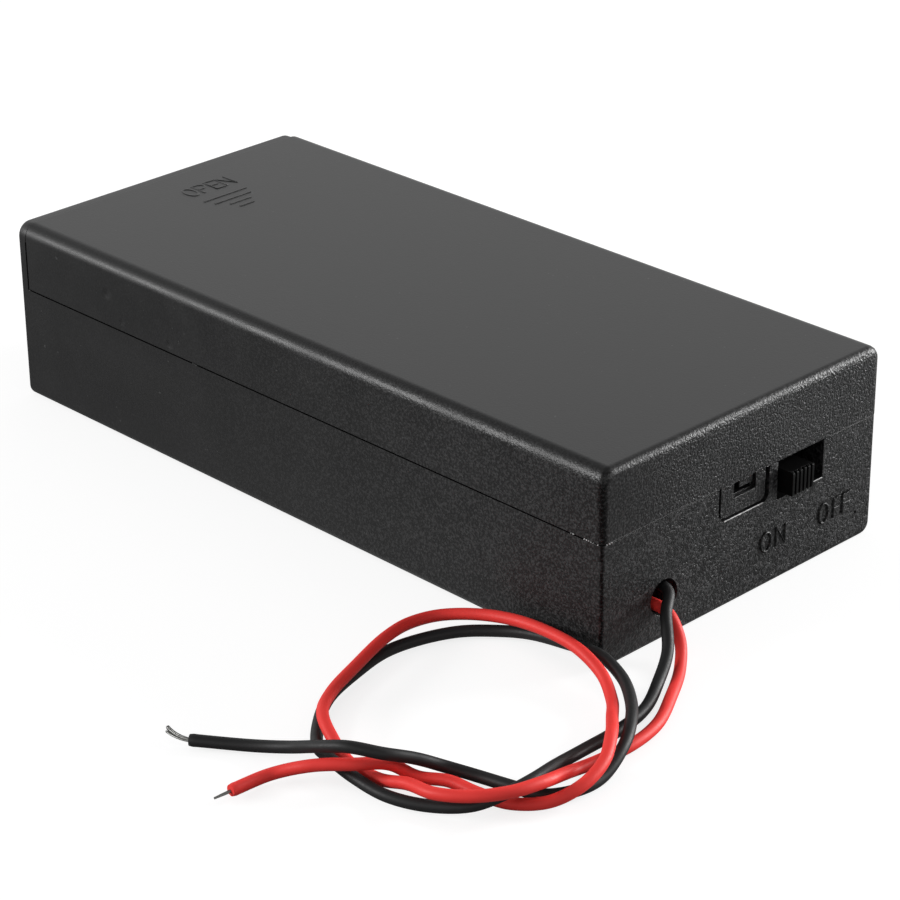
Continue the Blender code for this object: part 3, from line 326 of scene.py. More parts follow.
def surfaced(tree, geometry, surface):
    """The tree's last steps: real geometry, smooth, in its material."""
    real = step(tree, "GeometryNodeRealizeInstances", {"Geometry": geometry})
    smooth = step(tree, "GeometryNodeSetShadeSmooth", {"Geometry": real.outputs["Geometry"]})
    dressed = step(tree, "GeometryNodeSetMaterial", {"Geometry": smooth.outputs["Geometry"], "Material": surface})
    tree.links.new(dressed.outputs["Geometry"], tree.nodes.new("NodeGroupOutput").inputs["Geometry"])
    return tree


def round_wire_tree():
    """Round wire along each line of a mesh."""
    tree, given = growth_tree("round_wire", [
        ("Diameter", "NodeSocketFloat", 0.001),
        ("Sides", "NodeSocketInt", 12),
        ("Surface", "NodeSocketMaterial", None),
    ])
    line = step(tree, "GeometryNodeMeshToCurve", {"Mesh": given["Geometry"]})
    half = combine(tree, "MULTIPLY", given["Diameter"], 0.5)
    section = step(tree, "GeometryNodeCurvePrimitiveCircle", {"Resolution": given["Sides"], "Radius": half})
    wire = step(tree, "GeometryNodeCurveToMesh", {
        "Curve": line.outputs["Curve"], "Profile Curve": section.outputs["Curve"], "Fill Caps": True,
    })
    return surfaced(tree, wire.outputs["Mesh"], given["Surface"])


def twisted_strands_tree():
    """A bundle of fine strands round a line, twisted along it and forked in two towards its end."""
    tree, given = growth_tree("twisted_strands", [
        ("Strands", "NodeSocketInt", 7),
        ("Strand Diameter", "NodeSocketFloat", 0.00015),
        ("Bundle Radius", "NodeSocketFloat", 0.00015),
        ("Twist", "NodeSocketFloat", 3.0),
        ("Splay", "NodeSocketFloat", 0.5),
        ("Fork", "NodeSocketVector", None),
        ("Seed", "NodeSocketInt", 3),
        ("Surface", "NodeSocketMaterial", None),
    ])
    line = step(tree, "GeometryNodeMeshToCurve", {"Mesh": given["Geometry"]})
    copies = step(tree, "GeometryNodeDuplicateElements", {
        "Geometry": line.outputs["Curve"], "Amount": given["Strands"],
    }, domain="SPLINE")
    number = copies.outputs["Duplicate Index"]
    along = step(tree, "GeometryNodeSplineParameter").outputs["Factor"]
    bent = combine(tree, "POWER", along, 2.0)
    share = combine(tree, "DIVIDE", combine(tree, "MULTIPLY", number, 2 * math.pi), given["Strands"])
    turn = combine(tree, "ADD", share, combine(tree, "MULTIPLY", along, given["Twist"]))
    stray = step(tree, "FunctionNodeRandomValue", {
        "ID": number, "Seed": given["Seed"], "Min": 0.6, "Max": 1.4,
    }, data_type="FLOAT")
    spread = combine(tree, "ADD", combine(tree, "MULTIPLY", bent, given["Splay"]), 1.0)
    reach = combine(tree, "MULTIPLY", given["Bundle Radius"], spread)
    reach = combine(tree, "MULTIPLY", reach, stray.outputs[1])
    normal = step(tree, "GeometryNodeInputNormal").outputs["Normal"]
    tangent = step(tree, "GeometryNodeInputTangent").outputs["Tangent"]
    across = vector_math(tree, "CROSS_PRODUCT", tangent, normal).outputs["Vector"]
    one = combine(tree, "MULTIPLY", combine(tree, "COSINE", turn), reach)
    other = combine(tree, "MULTIPLY", combine(tree, "SINE", turn), reach)
    round_it = vector_math(
        tree, "ADD",
        vector_math(tree, "SCALE", normal, (0, 0, 0), one).outputs["Vector"],
        vector_math(tree, "SCALE", across, (0, 0, 0), other).outputs["Vector"],
    ).outputs["Vector"]
    half = combine(tree, "SUBTRACT", combine(tree, "MODULO", number, 2.0), 0.5)
    parted = vector_math(
        tree, "SCALE", given["Fork"], (0, 0, 0), combine(tree, "MULTIPLY", half, bent),
    ).outputs["Vector"]
    moved = step(tree, "GeometryNodeSetPosition", {
        "Geometry": copies.outputs["Geometry"],
        "Offset": vector_math(tree, "ADD", round_it, parted).outputs["Vector"],
    })
    radius = combine(tree, "MULTIPLY", given["Strand Diameter"], 0.5)
    section = step(tree, "GeometryNodeCurvePrimitiveCircle", {"Resolution": 8, "Radius": radius})
    wire = step(tree, "GeometryNodeCurveToMesh", {
        "Curve": moved.outputs["Geometry"], "Profile Curve": section.outputs["Curve"], "Fill Caps": True,
    })
    return surfaced(tree, wire.outputs["Mesh"], given["Surface"])


def flash_and_glint_specks_tree():
    """Tiny bits scattered along each line of a mesh: torn moulding flash, or pale specks as painted highlights."""
    tree, given = growth_tree("flash_and_glint_specks", [
        ("Spacing", "NodeSocketFloat", 0.0004),
        ("Share", "NodeSocketFloat", 0.5),
        ("Size", "NodeSocketFloat", 0.00015),
        ("Seed", "NodeSocketInt", 5),
        ("Surface", "NodeSocketMaterial", None),
    ])
    line = step(tree, "GeometryNodeMeshToCurve", {"Mesh": given["Geometry"]})
    points = step(tree, "GeometryNodeCurveToPoints", {
        "Curve": line.outputs["Curve"], "Length": given["Spacing"],
    }, mode="LENGTH")
    gone = combine(tree, "SUBTRACT", 1.0, given["Share"])
    drop = step(tree, "FunctionNodeRandomValue", {"Seed": given["Seed"], "Probability": gone}, data_type="BOOLEAN")
    kept = step(tree, "GeometryNodeDeleteGeometry", {
        "Geometry": points.outputs["Points"], "Selection": drop.outputs[3],
    }, domain="POINT")
    bit = step(tree, "GeometryNodeMeshIcoSphere", {"Radius": given["Size"], "Subdivisions": 1})
    scale = step(tree, "FunctionNodeRandomValue", {"Seed": given["Seed"]}, data_type="FLOAT_VECTOR")
    scale.inputs[0].default_value = (0.5, 0.3, 0.25)
    scale.inputs[1].default_value = (1.8, 0.8, 0.6)
    set_bits = step(tree, "GeometryNodeInstanceOnPoints", {
        "Points": kept.outputs["Geometry"], "Instance": bit.outputs["Mesh"], "Scale": scale.outputs[0],
    })
    return surfaced(tree, set_bits.outputs["Instances"], given["Surface"])


def lines_mesh(name, lines):
    """A mesh of open lines, each a list of points in metres."""
    points = [point for line in lines for point in line]
    edges = []
    start = 0
    for line in lines:
        edges += [(start + i, start + i + 1) for i in range(len(line) - 1)]
        start += len(line)
    mesh = bpy.data.meshes.new(name)
    mesh.from_pydata([tuple(point) for point in points], edges, [])
    return mesh


def grow(name, lines, tree, values):
    """The plain mesh that a geometry tree makes along lines, its inputs set by socket identifier."""
    piece = bpy.data.objects.new(name, lines_mesh(name, lines))
    scene.collection.objects.link(piece)
    growth = piece.modifiers.new(tree.name, "NODES")
    growth.node_group = tree
    for socket in tree.interface.items_tree:
        if socket.in_out == "INPUT" and socket.name in values:
            growth[socket.identifier] = values[socket.name]
    seen = bpy.context.evaluated_depsgraph_get()
    plain = bpy.data.meshes.new_from_object(piece.evaluated_get(seen), depsgraph=seen)
    piece.modifiers.remove(growth)
    piece.data = plain
    return piece


def belongs(piece, body, slot, *nodes):
    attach(piece, body)
    if nodes:
        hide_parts(*nodes)


# Leads

LEAD_DIAMETER = 0.00125
LEAD_STEP = 0.0004
CURVE_STEPS = 24
STRANDS_INSIDE = 0.0012
STRAND_STEPS = 28

# Millimetres: x from the end face, y from the middle, z from the floor
BLACK_ROUTE = [
    (-12.8, -9.2, 15.6), (-10.4, -9.9, 12.2), (-7.8, -11.4, 8.6), (-5, -11.9, 6.4), (-1.9, -11.4, 5.7),
    (0.5, -12.1, 5.7), (2.4, -14.5, 4.8), (5, -17.1, 2.7), (6.8, -20.5, 1.2), (8.7, -24.4, 0.8),
    (9.6, -28.8, 0.8), (9.7, -34.3, 0.8), (10.5, -38.8, 1.5), (11.7, -43.2, 2.4), (11.5, -46.4, 2.3),
    (9.8, -49, 1.4), (6.4, -51.2, 0.8), (2.5, -52.8, 0.8), (-1.8, -53, 1), (-5.7, -52.7, 1.4),
    (-8.7, -51.4, 0.8), (-12, -48.2, 0.8), (-14.5, -44.6, 0.8), (-16.1, -39.7, 0.8), (-17.1, -34.6, 0.8),
    (-16.5, -30.5, 0.8), (-14.8, -26.5, 0.8), (-12.3, -23.8, 0.8), (-9, -22.5, 1.3), (-3.8, -22.4, 2.2),
    (0.9, -22.4, 2.7), (4.5, -23.3, 2.2), (7.9, -25.7, 2.2), (11.3, -29.3, 2.6), (13.3, -32.5, 2.1),
    (14.3, -36.5, 0.9), (14.1, -39.8, 0.8), (12.4, -42.6, 0.8), (9.6, -43.6, 0.9), (5.8, -44.5, 0.8),
    (3.1, -46, 1.3), (1.8, -48.5, 2.7), (0.5, -51.5, 4), (-2, -53.5, 4.5), (-5.2, -54.3, 3.5),
    (-9.4, -54.5, 1.7), (-12.9, -55.8, 0.9), (-18, -59.4, 0.9),
]
RED_ROUTE = [
    (-11, 5.1, 11.1), (-10.8, 1.3, 9), (-9.3, -3.4, 6.6), (-7, -8, 4.6), (-4.6, -11.1, 3.8),
    (-1.9, -12.7, 4.1), (1, -12.7, 3.8), (3.6, -13.7, 2.1), (6, -16.3, 0.9), (9, -21, 0.8),
    (11.5, -25.8, 0.8), (12.3, -30.1, 0.8), (12, -34.8, 0.8), (12.6, -39.4, 1.9), (13.4, -43.8, 3.1),
    (12.7, -47.2, 3.3), (10.3, -49.9, 3), (7.2, -51.4, 2.6), (3.5, -51.2, 1.9), (-0.2, -51.3, 0.8),
    (-4.4, -51.3, 0.8), (-7.8, -50.4, 1.8), (-10.8, -48.8, 2.4), (-13.3, -45.4, 2.2), (-15.2, -40.5, 2.3),
    (-17.2, -34.4, 2.4), (-18.1, -30.2, 2), (-17.3, -27, 1.9), (-14.7, -24.8, 2.2), (-10.8, -23.5, 2.7),
    (-5.7, -23.4, 3.3), (-0.7, -23.9, 3.4), (3.2, -24.7, 2.5), (6.4, -26.7, 1.8), (9.5, -30, 2.5),
    (12.6, -33.5, 3.3), (14.7, -36.8, 2.8), (15.2, -40.3, 2), (14, -43.3, 1.1), (11.3, -45.7, 0.8),
    (8.1, -46.8, 1), (4.8, -47.2, 1), (2, -48.5, 0.8), (0.1, -50.4, 2.2), (-1.5, -53.2, 2.7),
    (-4.6, -55.7, 2.3), (-7.8, -58, 1), (-8.3, -62.6, 1),
]
JUMPER_ROUTE = [
    (-12.8, 12.5, 15.7), (-12.1, 12.3, 14.7), (-11.5, 11.4, 13.7), (-11.2, 10.2, 12.9), (-11.1, 9.45, 12.35),
]


def smooth_route(route, spacing):
    """Points at equal steps along a centripetal Catmull-Rom curve through the route's points."""
    places = [Vector((END_FACE + x * MM, y * MM, z * MM)) for x, y, z in route]
    places = [2 * places[0] - places[1], *places, 2 * places[-1] - places[-2]]
    dense = []
    for p0, p1, p2, p3 in zip(places, places[1:], places[2:], places[3:]):
        t1 = (p1 - p0).length ** 0.5
        t2 = t1 + (p2 - p1).length ** 0.5
        t3 = t2 + (p3 - p2).length ** 0.5
        for number in range(CURVE_STEPS):
            t = t1 + (t2 - t1) * number / CURVE_STEPS
            a1 = p0.lerp(p1, t / t1)
            a2 = p1.lerp(p2, (t - t1) / (t2 - t1))
            a3 = p2.lerp(p3, (t - t2) / (t3 - t2))
            b1 = a1.lerp(a2, t / t2)
            b2 = a2.lerp(a3, (t - t1) / (t3 - t1))
            dense.append(b1.lerp(b2, (t - t1) / (t2 - t1)))
    dense.append(places[-2])
    total = sum((b - a).length for a, b in zip(dense, dense[1:]))
    count = max(2, round(total / spacing))
    points = [dense[0]]
    travelled = 0.0
    for a, b in zip(dense, dense[1:]):
        length = (b - a).length
        while len(points) < count and travelled + length >= total * len(points) / count:
            points.append(a.lerp(b, (total * len(points) / count - travelled) / length))
        travelled += length
    points.append(dense[-1])
    return points, total


def insulation_tube(name, points, diameter, surface):
    """A round tube along the points, a touch uneven, and flared where the stripper cut it."""
    data = bpy.data.curves.new(name, "CURVE")
    data.dimensions = "3D"
    data.bevel_depth = diameter / 2
    data.bevel_resolution = 6
    data.use_fill_caps = True
    spline = data.splines.new("POLY")
    spline.points.add(len(points) - 1)
    for number, (point, place) in enumerate(zip(spline.points, points)):
        point.co = (*place, 1.0)
        point.radius = 1.0 + 0.008 * math.sin(number * 0.21) + 0.006 * math.sin(number * 0.067 + 1.0)
    spline.points[-1].radius = 0.93
    spline.points[-2].radius = 1.03
    data.materials.append(surface)
    tube = bpy.data.objects.new(name, data)
    scene.collection.objects.link(tube)
    return tube


def free_lead(colour_word, route, surface, slot):
    """One lead from its solder joint to its stripped end."""
    points, total = smooth_route(route, LEAD_STEP)
    tube = insulation_tube(f"{colour_word}_lead", points, LEAD_DIAMETER, surface)
    belongs(tube, "case", slot, f"lead_{colour_word}")
    return points[-1], (points[-1] - points[-6]).normalized()


def bare_strands(colour_word, end, direction, tip, fork, splay, diameter, tree, surface):
    """The tinned strands past the insulation, from inside it to their bent tips."""
    inside = end - direction * STRANDS_INSIDE
    tip = Vector((END_FACE + tip[0] * MM, tip[1] * MM, tip[2] * MM))
    line = []
    for number in range(STRAND_STEPS + 1):
        t = number / STRAND_STEPS
        straight = inside + direction * (STRANDS_INSIDE + (tip - end).length) * t
        bend = max(0.0, (t - 0.2) / 0.8)
        line.append(straight.lerp(inside.lerp(tip, t), bend))
    strands = grow(f"{colour_word}_strands", [line], tree, {
        "Strands": 7, "Strand Diameter": diameter, "Bundle Radius": 0.00011, "Twist": 1.1,
        "Splay": splay, "Fork": fork, "Seed": 4, "Surface": surface,
    })
    belongs(strands, "case", "tinned_copper", f"lead_{colour_word}_conductor")


# Switch and contacts

def coil_line(face_x, centre_y, toward):
    """The conical spring's centre line, given in millimetres, closed flat at its base and its tip."""
    turns, flat, tip_flat = 4.0, 0.35, 0.5
    wide, narrow = 4.6, 2.6
    steps = 288
    line = []
    for number in range(steps + 1):
        turn = turns * number / steps
        climb = min(1.0, max(0.0, (turn - flat) / (turns - flat - tip_flat)))
        radius = wide + (narrow - wide) * climb
        angle = math.radians(27) + 2 * math.pi * turn
        line.append(Vector((
            (face_x + toward * (0.7 + 8.4 * climb)) * MM,
            (centre_y + radius * math.cos(angle)) * MM,
            (10.7 + radius * math.sin(angle)) * MM,
        )))
    return line


def coil_springs(tree, surface):
    springs = (("negative_spring", 28.15, -9.25, -1), ("bridge_spring", -45.05, 9.25, 1))
    for name, face_x, centre_y, toward in springs:
        coil = grow(f"coiled_{name}", [coil_line(face_x, centre_y, toward)], tree, {
            "Diameter": 0.0008, "Sides": 14, "Surface": surface,
        })
        belongs(coil, "case", "spring_steel", name)


def short_jumper(tree, surface):
    points = smooth_route(JUMPER_ROUTE, LEAD_STEP)[0]
    jumper = grow("short_jumper", [points], tree, {"Diameter": LEAD_DIAMETER, "Sides": 20, "Surface": surface})
    belongs(jumper, "case", "pvc_red", "jumper_wire")


# Housing

WELD = 0.000002
SHARP_ANGLE = math.radians(38)


def smooth_copy(node, name, body, slot, surface):
    """The CAD piece merged, with its rounded edges shaded smooth and its flat faces kept flat."""
    form = bmesh.new()
    form.from_mesh(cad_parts[node].data)
    bmesh.ops.remove_doubles(form, verts=form.verts, dist=WELD)
    for face in form.faces:
        face.smooth = True
    for edge in form.edges:
        edge.smooth = edge.calc_face_angle(math.pi) < SHARP_ANGLE
    mesh = bpy.data.meshes.new(name)
    form.to_mesh(mesh)
    form.free()
    copy = bpy.data.objects.new(name, mesh)
    scene.collection.objects.link(copy)
    weigh = copy.modifiers.new("flat_faces_first", "WEIGHTED_NORMAL")
    weigh.keep_sharp = True
    weigh.weight = 100
    seen = bpy.context.evaluated_depsgraph_get()
    weighed = bpy.data.meshes.new_from_object(copy.evaluated_get(seen), depsgraph=seen)
    copy.modifiers.remove(weigh)
    copy.data = weighed
    weighed.materials.clear()
    weighed.materials.append(surface)
    belongs(copy, body, slot, node)


LETTERS = {
    "E": [[(1, 1), (0, 1), (0, 0), (1, 0)], [(0, 0.5), (0.85, 0.5)]],
    "F": [[(1, 1), (0, 1), (0, 0)], [(0, 0.5), (0.85, 0.5)]],
    "N": [[(0, 0), (0, 1), (1, 0), (1, 1)]],
    "O": [[
        (0.5 + 0.5 * math.sin(a * math.pi / 12), 0.5 + 0.5 * math.cos(a * math.pi / 12)) for a in range(25)
    ]],
    "P": [[(0, 0), (0, 1), (0.62, 1), (0.9, 0.93), (1, 0.76), (0.9, 0.58), (0.62, 0.5), (0, 0.5)]],
}


def letter_lines(letter, low, high, place):
    """A letter's strokes in its own rectangle, put on the part by the given rule."""
    return [
        [place(low[0] + (high[0] - low[0]) * u, low[1] + (high[1] - low[1]) * v) for u, v in stroke]
        for stroke in LETTERS[letter]
    ]


def switch_words(tree, surface):
    """ON, OFF and a small dot beside them, in thin raised strokes on the base's end."""
    proud = 0.00018
    stroke = 0.00034

    def on_end(y, z):
        return Vector((BASE_END + proud - stroke / 2, y * MM, z * MM))

    lines = []
    for letter, low, high in (
        ("O", (2.93, 4.11), (4.53, 6.27)), ("N", (5.37, 4.11), (6.77, 6.27)),
        ("O", (12.36, 3.99), (13.85, 6.25)), ("F", (14.77, 3.99), (15.78, 6.25)),
        ("F", (16.27, 3.99), (17.66, 6.25)),
    ):
        lines += letter_lines(letter, low, high, on_end)
    lines.append([on_end(18.6, 3.3), on_end(18.68, 3.3)])
    words = grow("switch_words", lines, tree, {"Diameter": stroke, "Sides": 10, "Surface": surface})
    belongs(words, "case", "abs_black")


PLATE_EDGE = 0.00005


def pressed_plate(name, outline, back, front, body, surface):
    """A flat moulding on the end wall: its outline in millimetres across and up, with softened edges."""
    form = bmesh.new()
    corners = [form.verts.new((back, y * MM, z * MM)) for y, z in outline]
    face = form.faces.new(corners)
    raised = bmesh.ops.extrude_face_region(form, geom=[face])["geom"]
    front_corners = [v for v in raised if isinstance(v, bmesh.types.BMVert)]
    bmesh.ops.translate(form, vec=(front - back, 0, 0), verts=front_corners)
    bmesh.ops.recalc_face_normals(form, faces=form.faces)
    mesh = bpy.data.meshes.new(name)
    form.to_mesh(mesh)
    form.free()
    plate = bpy.data.objects.new(name, mesh)
    scene.collection.objects.link(plate)
    soften = plate.modifiers.new("softened", "BEVEL")
    soften.width = PLATE_EDGE
    soften.segments = 2
    soften.limit_method = "ANGLE"
    mesh.materials.append(surface)
    belongs(plate, body, "abs_black")


def thumb_catch(panel_surface, nose_surface):
    """The flexing panel with its window in the thumb pocket, and the cover's catch that shows in it."""
    left, right, foot, head = -3.5, 3.45, 10.28, 14.0
    window_left, window_right, window_foot = -1.5, 1.9, 12.1
    curve = 0.7
    turns = (0.0, 0.52, 1.05, 1.57)
    left_curve = [(left + curve - curve * math.cos(a), foot + curve - curve * math.sin(a)) for a in turns]
    right_curve = [(right - curve + curve * math.sin(a), foot + curve - curve * math.cos(a)) for a in turns]
    panel = [
        (left, head), *left_curve, *right_curve, (right, head),
        (window_right, head), (window_right, window_foot), (window_left, window_foot), (window_left, head),
    ]
    back = BASE_END - 0.0006
    pressed_plate("thumb_panel", panel, back, BASE_END - 0.00012, "case", panel_surface)
    nose = [(-0.35, 14.15), (-0.35, 12.8), (1.8, 12.8), (1.8, 14.15)]
    pressed_plate("catch_nose", nose, back, BASE_END - 0.0004, "cover", nose_surface)


def painted_rim_highlights(tree, surface, dull):
    """Pale lines on the lower rims of the thumb pocket, of the switch opening and of the cover: painted highlights
    where these edges catch the light.
    """
    sunk = 0.03 * MM
    pocket_rim = [Vector((BASE_END - sunk, y * MM, 9.98 * MM)) for y in (-3.0, 3.1)]
    switch_rim = [Vector((BASE_END - sunk, y * MM, 9.49 * MM)) for y in (10.3, 12.6)]
    rims = grow("painted_rim_highlights", [pocket_rim, switch_rim], tree, {"Diameter": 0.00013, "Sides": 8, "Surface": surface})
    belongs(rims, "case", "abs_black")
    # Painted highlight: a thin dim grey line along the cover's lower edge on the end face.
    edge = [
        [Vector((END_FACE - sunk, y * MM, SKIRT_EDGE + 0.02 * MM)) for y in span]
        for span in ((-20.3, -4.3), (13.4, 20.0))
    ]
    skirt_highlight = grow("skirt_painted_highlight", edge, tree, {"Diameter": 0.00009, "Sides": 8, "Surface": dull})
    belongs(skirt_highlight, "cover", "abs_black")


def painted_seam_shade(tree, surface):
    """Near-black lines along the long parting line and in the gap at the far wall: painted shade of these gaps."""
    seam_y = BASE_SIDE + 0.00005
    seam_z = SKIRT_EDGE - 0.00012
    spans = ((-44.6, -15.6), (-14.6, 44.0))
    long_line = [[Vector((MIDDLE + x * MM, seam_y, seam_z)) for x in span] for span in spans]
    far_gap = [Vector((FAR_GAP, NEAR_SIDE + 0.00012, z)) for z in (SKIRT_EDGE - 0.0001, TOP - 0.0022)]
    lines = grow("parting_painted_shade", long_line, tree, {"Diameter": 0.00032, "Sides": 8, "Surface": surface})
    belongs(lines, "case", "abs_black")
    gap = grow("gap_painted_shade", [far_gap], tree, {"Diameter": 0.00030, "Sides": 8, "Surface": surface})
    belongs(gap, "case", "abs_black")


def opening_marks(tree, surface):
    """OPEN and the arrow of bars on the cover, raised by a hair."""
    proud = 0.00008
    stroke = 0.00050

    def on_top(y, x):
        return Vector((MIDDLE + x * MM, y * MM, TOP + proud - stroke / 2))

    lines = []
    for letter, low in (("O", -2.0), ("P", -0.1), ("E", 1.75), ("N", 3.4)):
        lines += letter_lines(letter, (low, -37.7), (low + 1.4, -40.2), on_top)
    for x, low, high in ((-35.5, -2.1, 4.4), (-34.1, -1.65, 3.85), (-32.8, -0.4, 2.8), (-31.5, -0.05, 2.1)):
        lines.append([on_top(low, x), on_top(high, x)])
    marks = grow("opening_marks", lines, tree, {"Diameter": stroke, "Sides": 10, "Surface": surface})
    belongs(marks, "cover", "abs_black")


def skirt_flash(surface):
    """Bright torn flash on the cover's lower edge, by the near corner, and fine pale specks along that edge over the
    thumb pocket as painted highlights.
    """
    tree = flash_and_glint_specks_tree()
    z = SKIRT_EDGE - 0.00003
    torn = []
    for low, high in ((-4.2, -3.9), (-2.4, -1.2), (-0.9, -0.6)):
        torn.append([Vector((END_FACE + x * MM, NEAR_SIDE - 0.02 * MM, z)) for x in (low, high)])
    torn.append([Vector((END_FACE + 0.02 * MM, NEAR_SIDE + y * MM, z)) for y in (0.6, 1.3)])
    flash = grow("skirt_flash", torn, tree, {
        "Spacing": 0.00024, "Share": 0.85, "Size": 0.00011, "Seed": 8, "Surface": surface,
    })
    belongs(flash, "cover", "abs_black")
    # Painted highlight: pale specks where the cover's lower edge catches the light over the thumb pocket.
    glint_specks = grow("skirt_painted_glints", [[Vector((END_FACE, y * MM, z)) for y in (-4.2, 4.3)]], tree, {
        "Spacing": 0.00022, "Share": 0.45, "Size": 0.00006, "Seed": 3, "Surface": surface,
    })
    belongs(glint_specks, "cover", "abs_black")


# Floor and light

FLOOR_HALF = 3.0
FLOOR_GLOW = 0.80
WALL_GLOW, CEILING_GLOW = 1.07, 0.15
FILL_LIGHT = 0.46


def white_floor():
    """White to the camera but for the box's soft shadow, dimmer in reflections at the front and both ends."""
    form = bmesh.new()
    bmesh.ops.create_grid(form, x_segments=1, y_segments=1, size=FLOOR_HALF)
    mesh = bpy.data.meshes.new("floor")
    form.to_mesh(mesh)
    form.free()
    floor = bpy.data.objects.new("floor", mesh)
    scene.collection.objects.link(floor)
    made, tree, shader = shader_nodes("floor_white", (0.30, 0.30, 0.30), 0.9, specular=0.0)
    path = step(tree, "ShaderNodeLightPath")
    spot = step(tree, "ShaderNodeSeparateXYZ", {"Vector": own_place(tree)})
    toward_front = combine(tree, "SUBTRACT", spot.outputs["X"], spot.outputs["Y"])
    mirrored = combine(tree, "MAXIMUM", path.outputs["Is Glossy Ray"], path.outputs["Is Transmission Ray"])
    mirrored = combine(tree, "MULTIPLY", mirrored, remap(tree, toward_front, 0.062, 0.094, 0.25, 0.02, True))
    toward_right = combine(tree, "ADD", spot.outputs["X"], spot.outputs["Y"])
    mirrored = combine(tree, "MULTIPLY", mirrored, remap(tree, toward_right, -0.12, 0.02, 0.0, 1.0, True))
    mirrored = combine(tree, "MULTIPLY", mirrored, remap(tree, toward_right, 0.02, 0.06, 1.0, 0.2, True))
    direct = combine(tree, "MULTIPLY", path.outputs["Is Camera Ray"], FLOOR_GLOW)
    glow = step(tree, "ShaderNodeEmission", {"Strength": combine(tree, "ADD", direct, mirrored)})
    both = step(tree, "ShaderNodeAddShader")
    tree.links.new(shader.outputs["BSDF"], both.inputs[0])
    tree.links.new(glow.outputs["Emission"], both.inputs[1])
    tree.links.new(both.outputs["Shader"], tree.nodes["Material Output"].inputs["Surface"])
    mesh.materials.append(made)


def white_world():
    """A white wall all round and a dark ceiling, with even fill light."""
    world = bpy.data.worlds.new("studio")
    scene.world = world
    world.use_nodes = True
    tree = world.node_tree
    path = step(tree, "ShaderNodeLightPath")
    seen = combine(tree, "MAXIMUM", path.outputs["Is Camera Ray"], path.outputs["Is Glossy Ray"])
    seen = combine(tree, "MAXIMUM", seen, path.outputs["Is Transmission Ray"])
    background = tree.nodes["Background"]
    background.inputs["Color"].default_value = (1.0, 1.0, 1.0, 1.0)
    way = step(tree, "ShaderNodeSeparateXYZ", {"Vector": step(tree, "ShaderNodeTexCoord").outputs["Generated"]})
    wall = remap(tree, way.outputs["Z"], 0.48, 0.70, WALL_GLOW, CEILING_GLOW, True)
    ambient = combine(tree, "MULTIPLY", combine(tree, "SUBTRACT", 1.0, seen), FILL_LIGHT)
    strength = combine(tree, "ADD", combine(tree, "MULTIPLY", seen, wall), ambient)
    tree.links.new(strength, background.inputs["Strength"])


def soft_box(name, place, size, power):
    """A rectangular lamp that faces the box; its size in metres, its power in watts."""
    data = bpy.data.lights.new(name, "AREA")
    data.shape = "RECTANGLE"
    data.size, data.size_y = size
    data.energy = power
    lamp = bpy.data.objects.new(name, data)
    scene.collection.objects.link(lamp)
    lamp.location = place
    lamp.rotation_euler = (Vector((0.0, 0.0, 0.01)) - Vector(place)).to_track_quat("-Z", "Y").to_euler()


def studio():
    white_floor()
    white_world()
    soft_box("right_box", (0.36, 0.85, 0.36), (0.3, 0.36), 6.5)
    soft_box("low_box", (0.30, 0.62, 0.07), (0.22, 0.10), 2.7)
    soft_box("left_box", (-0.60, -0.85, 0.38), (0.55, 0.25), 7.5)


picture_camera()

base_abs = spark_eroded_abs("base_abs")
cover_abs = spark_eroded_abs("cover_abs", streaks=True)
switch_black = switch_plastic()
pvc_red = wire_insulation("pvc_red", (0.92, 0.050, 0.042), (0.82, 0.040, 0.034), 0.3)
pvc_black = wire_insulation("pvc_black", (0.019, 0.019, 0.0195), (0.014, 0.014, 0.0145), 0.26)
nickel = bright_metal("nickel_plate", (0.68, 0.66, 0.62), 0.34, 0.004, 0.000004, edge=0.0001)
spring_wire = bright_metal("spring_wire", (0.6, 0.59, 0.57), 0.22)
tinned = bright_metal("tinned_copper", (0.26, 0.26, 0.25), 0.4, 0.0006)
bronze = bright_metal("phosphor_bronze", (0.7, 0.45, 0.25), 0.3)
board = pressed_board()
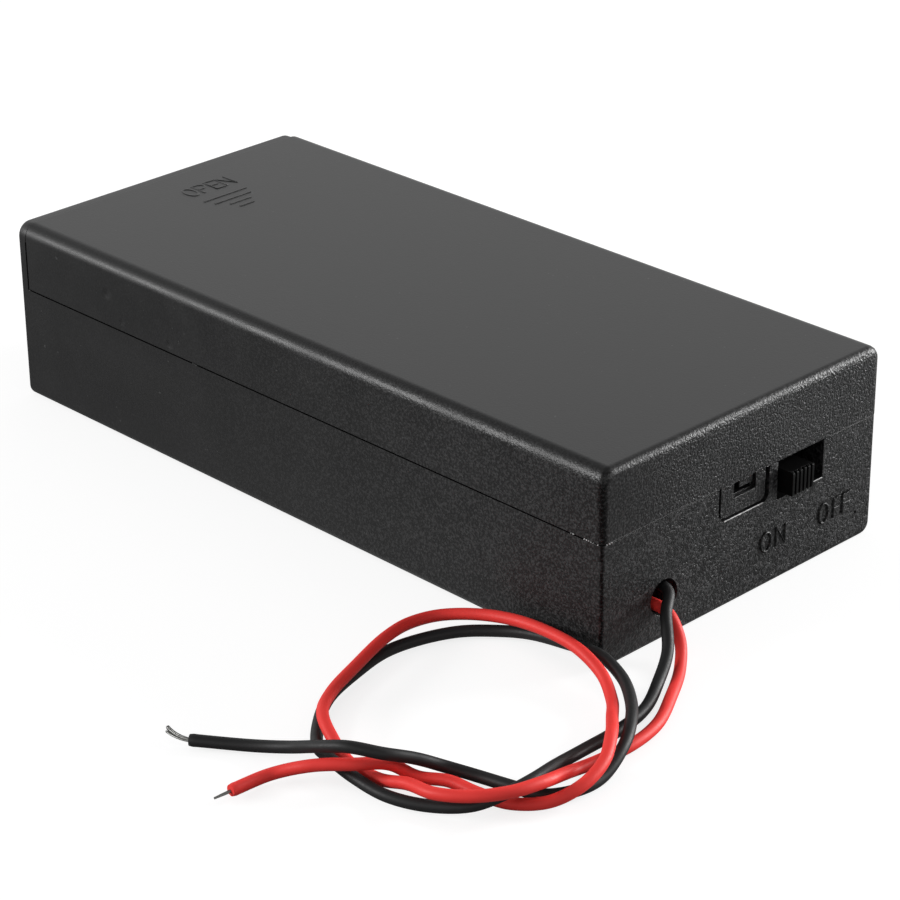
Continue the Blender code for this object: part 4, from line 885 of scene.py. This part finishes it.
# Pale grey for torn flash and for painted highlight specks.
flash_and_glint_white = two_grey_blotched_plastic("torn_flash_and_painted_glints", 0.45, 0.85)
# Pale grey for the painted highlights on the rims.
rim_highlight_paint = two_grey_blotched_plastic("rim_highlight_paint", 0.35, 0.75)

round_wire = round_wire_tree()
strand_bundle = twisted_strands_tree()

black_end, black_way = free_lead("black", BLACK_ROUTE, pvc_black, "pvc_black")
red_end, red_way = free_lead("red", RED_ROUTE, pvc_red, "pvc_red")
bare_strands(
    "black", black_end, black_way, tip=(-20.95, -59.66, 1.0), fork=(0.0, 0.0, 0.00040), splay=0.2,
    diameter=0.00021, tree=strand_bundle, surface=tinned,
)
bare_strands(
    "red", red_end, red_way, tip=(-8.75, -64.25, 0.7), fork=(0.0, 0.0, 0.0), splay=-0.7,
    diameter=0.00015, tree=strand_bundle, surface=tinned,
)

coil_springs(round_wire, spring_wire)
short_jumper(round_wire, pvc_red)
smooth_copy("case_base", "moulded_base", "case", "abs_black", base_abs)
smooth_copy("sliding_cover", "moulded_cover", "cover", "abs_black", cover_abs)
smooth_copy("switch_knob", "moulded_knob", "knob", "switch_black", switch_black)
switch_words(round_wire, base_abs)
opening_marks(round_wire, cover_abs)
skirt_flash(flash_and_glint_white)
thumb_catch(base_abs, cover_abs)
# Painted highlights: pale lines on the rims and a dim line on the cover's lower edge.
painted_rim_highlights(round_wire, rim_highlight_paint, two_grey_blotched_plastic("skirt_highlight_abs", 0.03, 0.09))
# Painted shade: near-black lines in the seams.
painted_seam_shade(round_wire, two_grey_blotched_plastic("painted_seam_shade", 0.0010, 0.0045, 0.95, 0.0))

FINISHES = {
    "switch_housing": switch_black,
    "switch_terminal_board": board,
    "switch_contact": bronze,
    "switch_terminal_on": tinned,
    "switch_terminal_common": tinned,
    "switch_terminal_off": tinned,
    "positive_contact": nickel,
    "negative_contact": nickel,
    "bridge_contact": nickel,
}
for node, surface in FINISHES.items():
    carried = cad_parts[node]
    carried.data.materials.clear()
    carried.data.materials.append(surface)

studio()
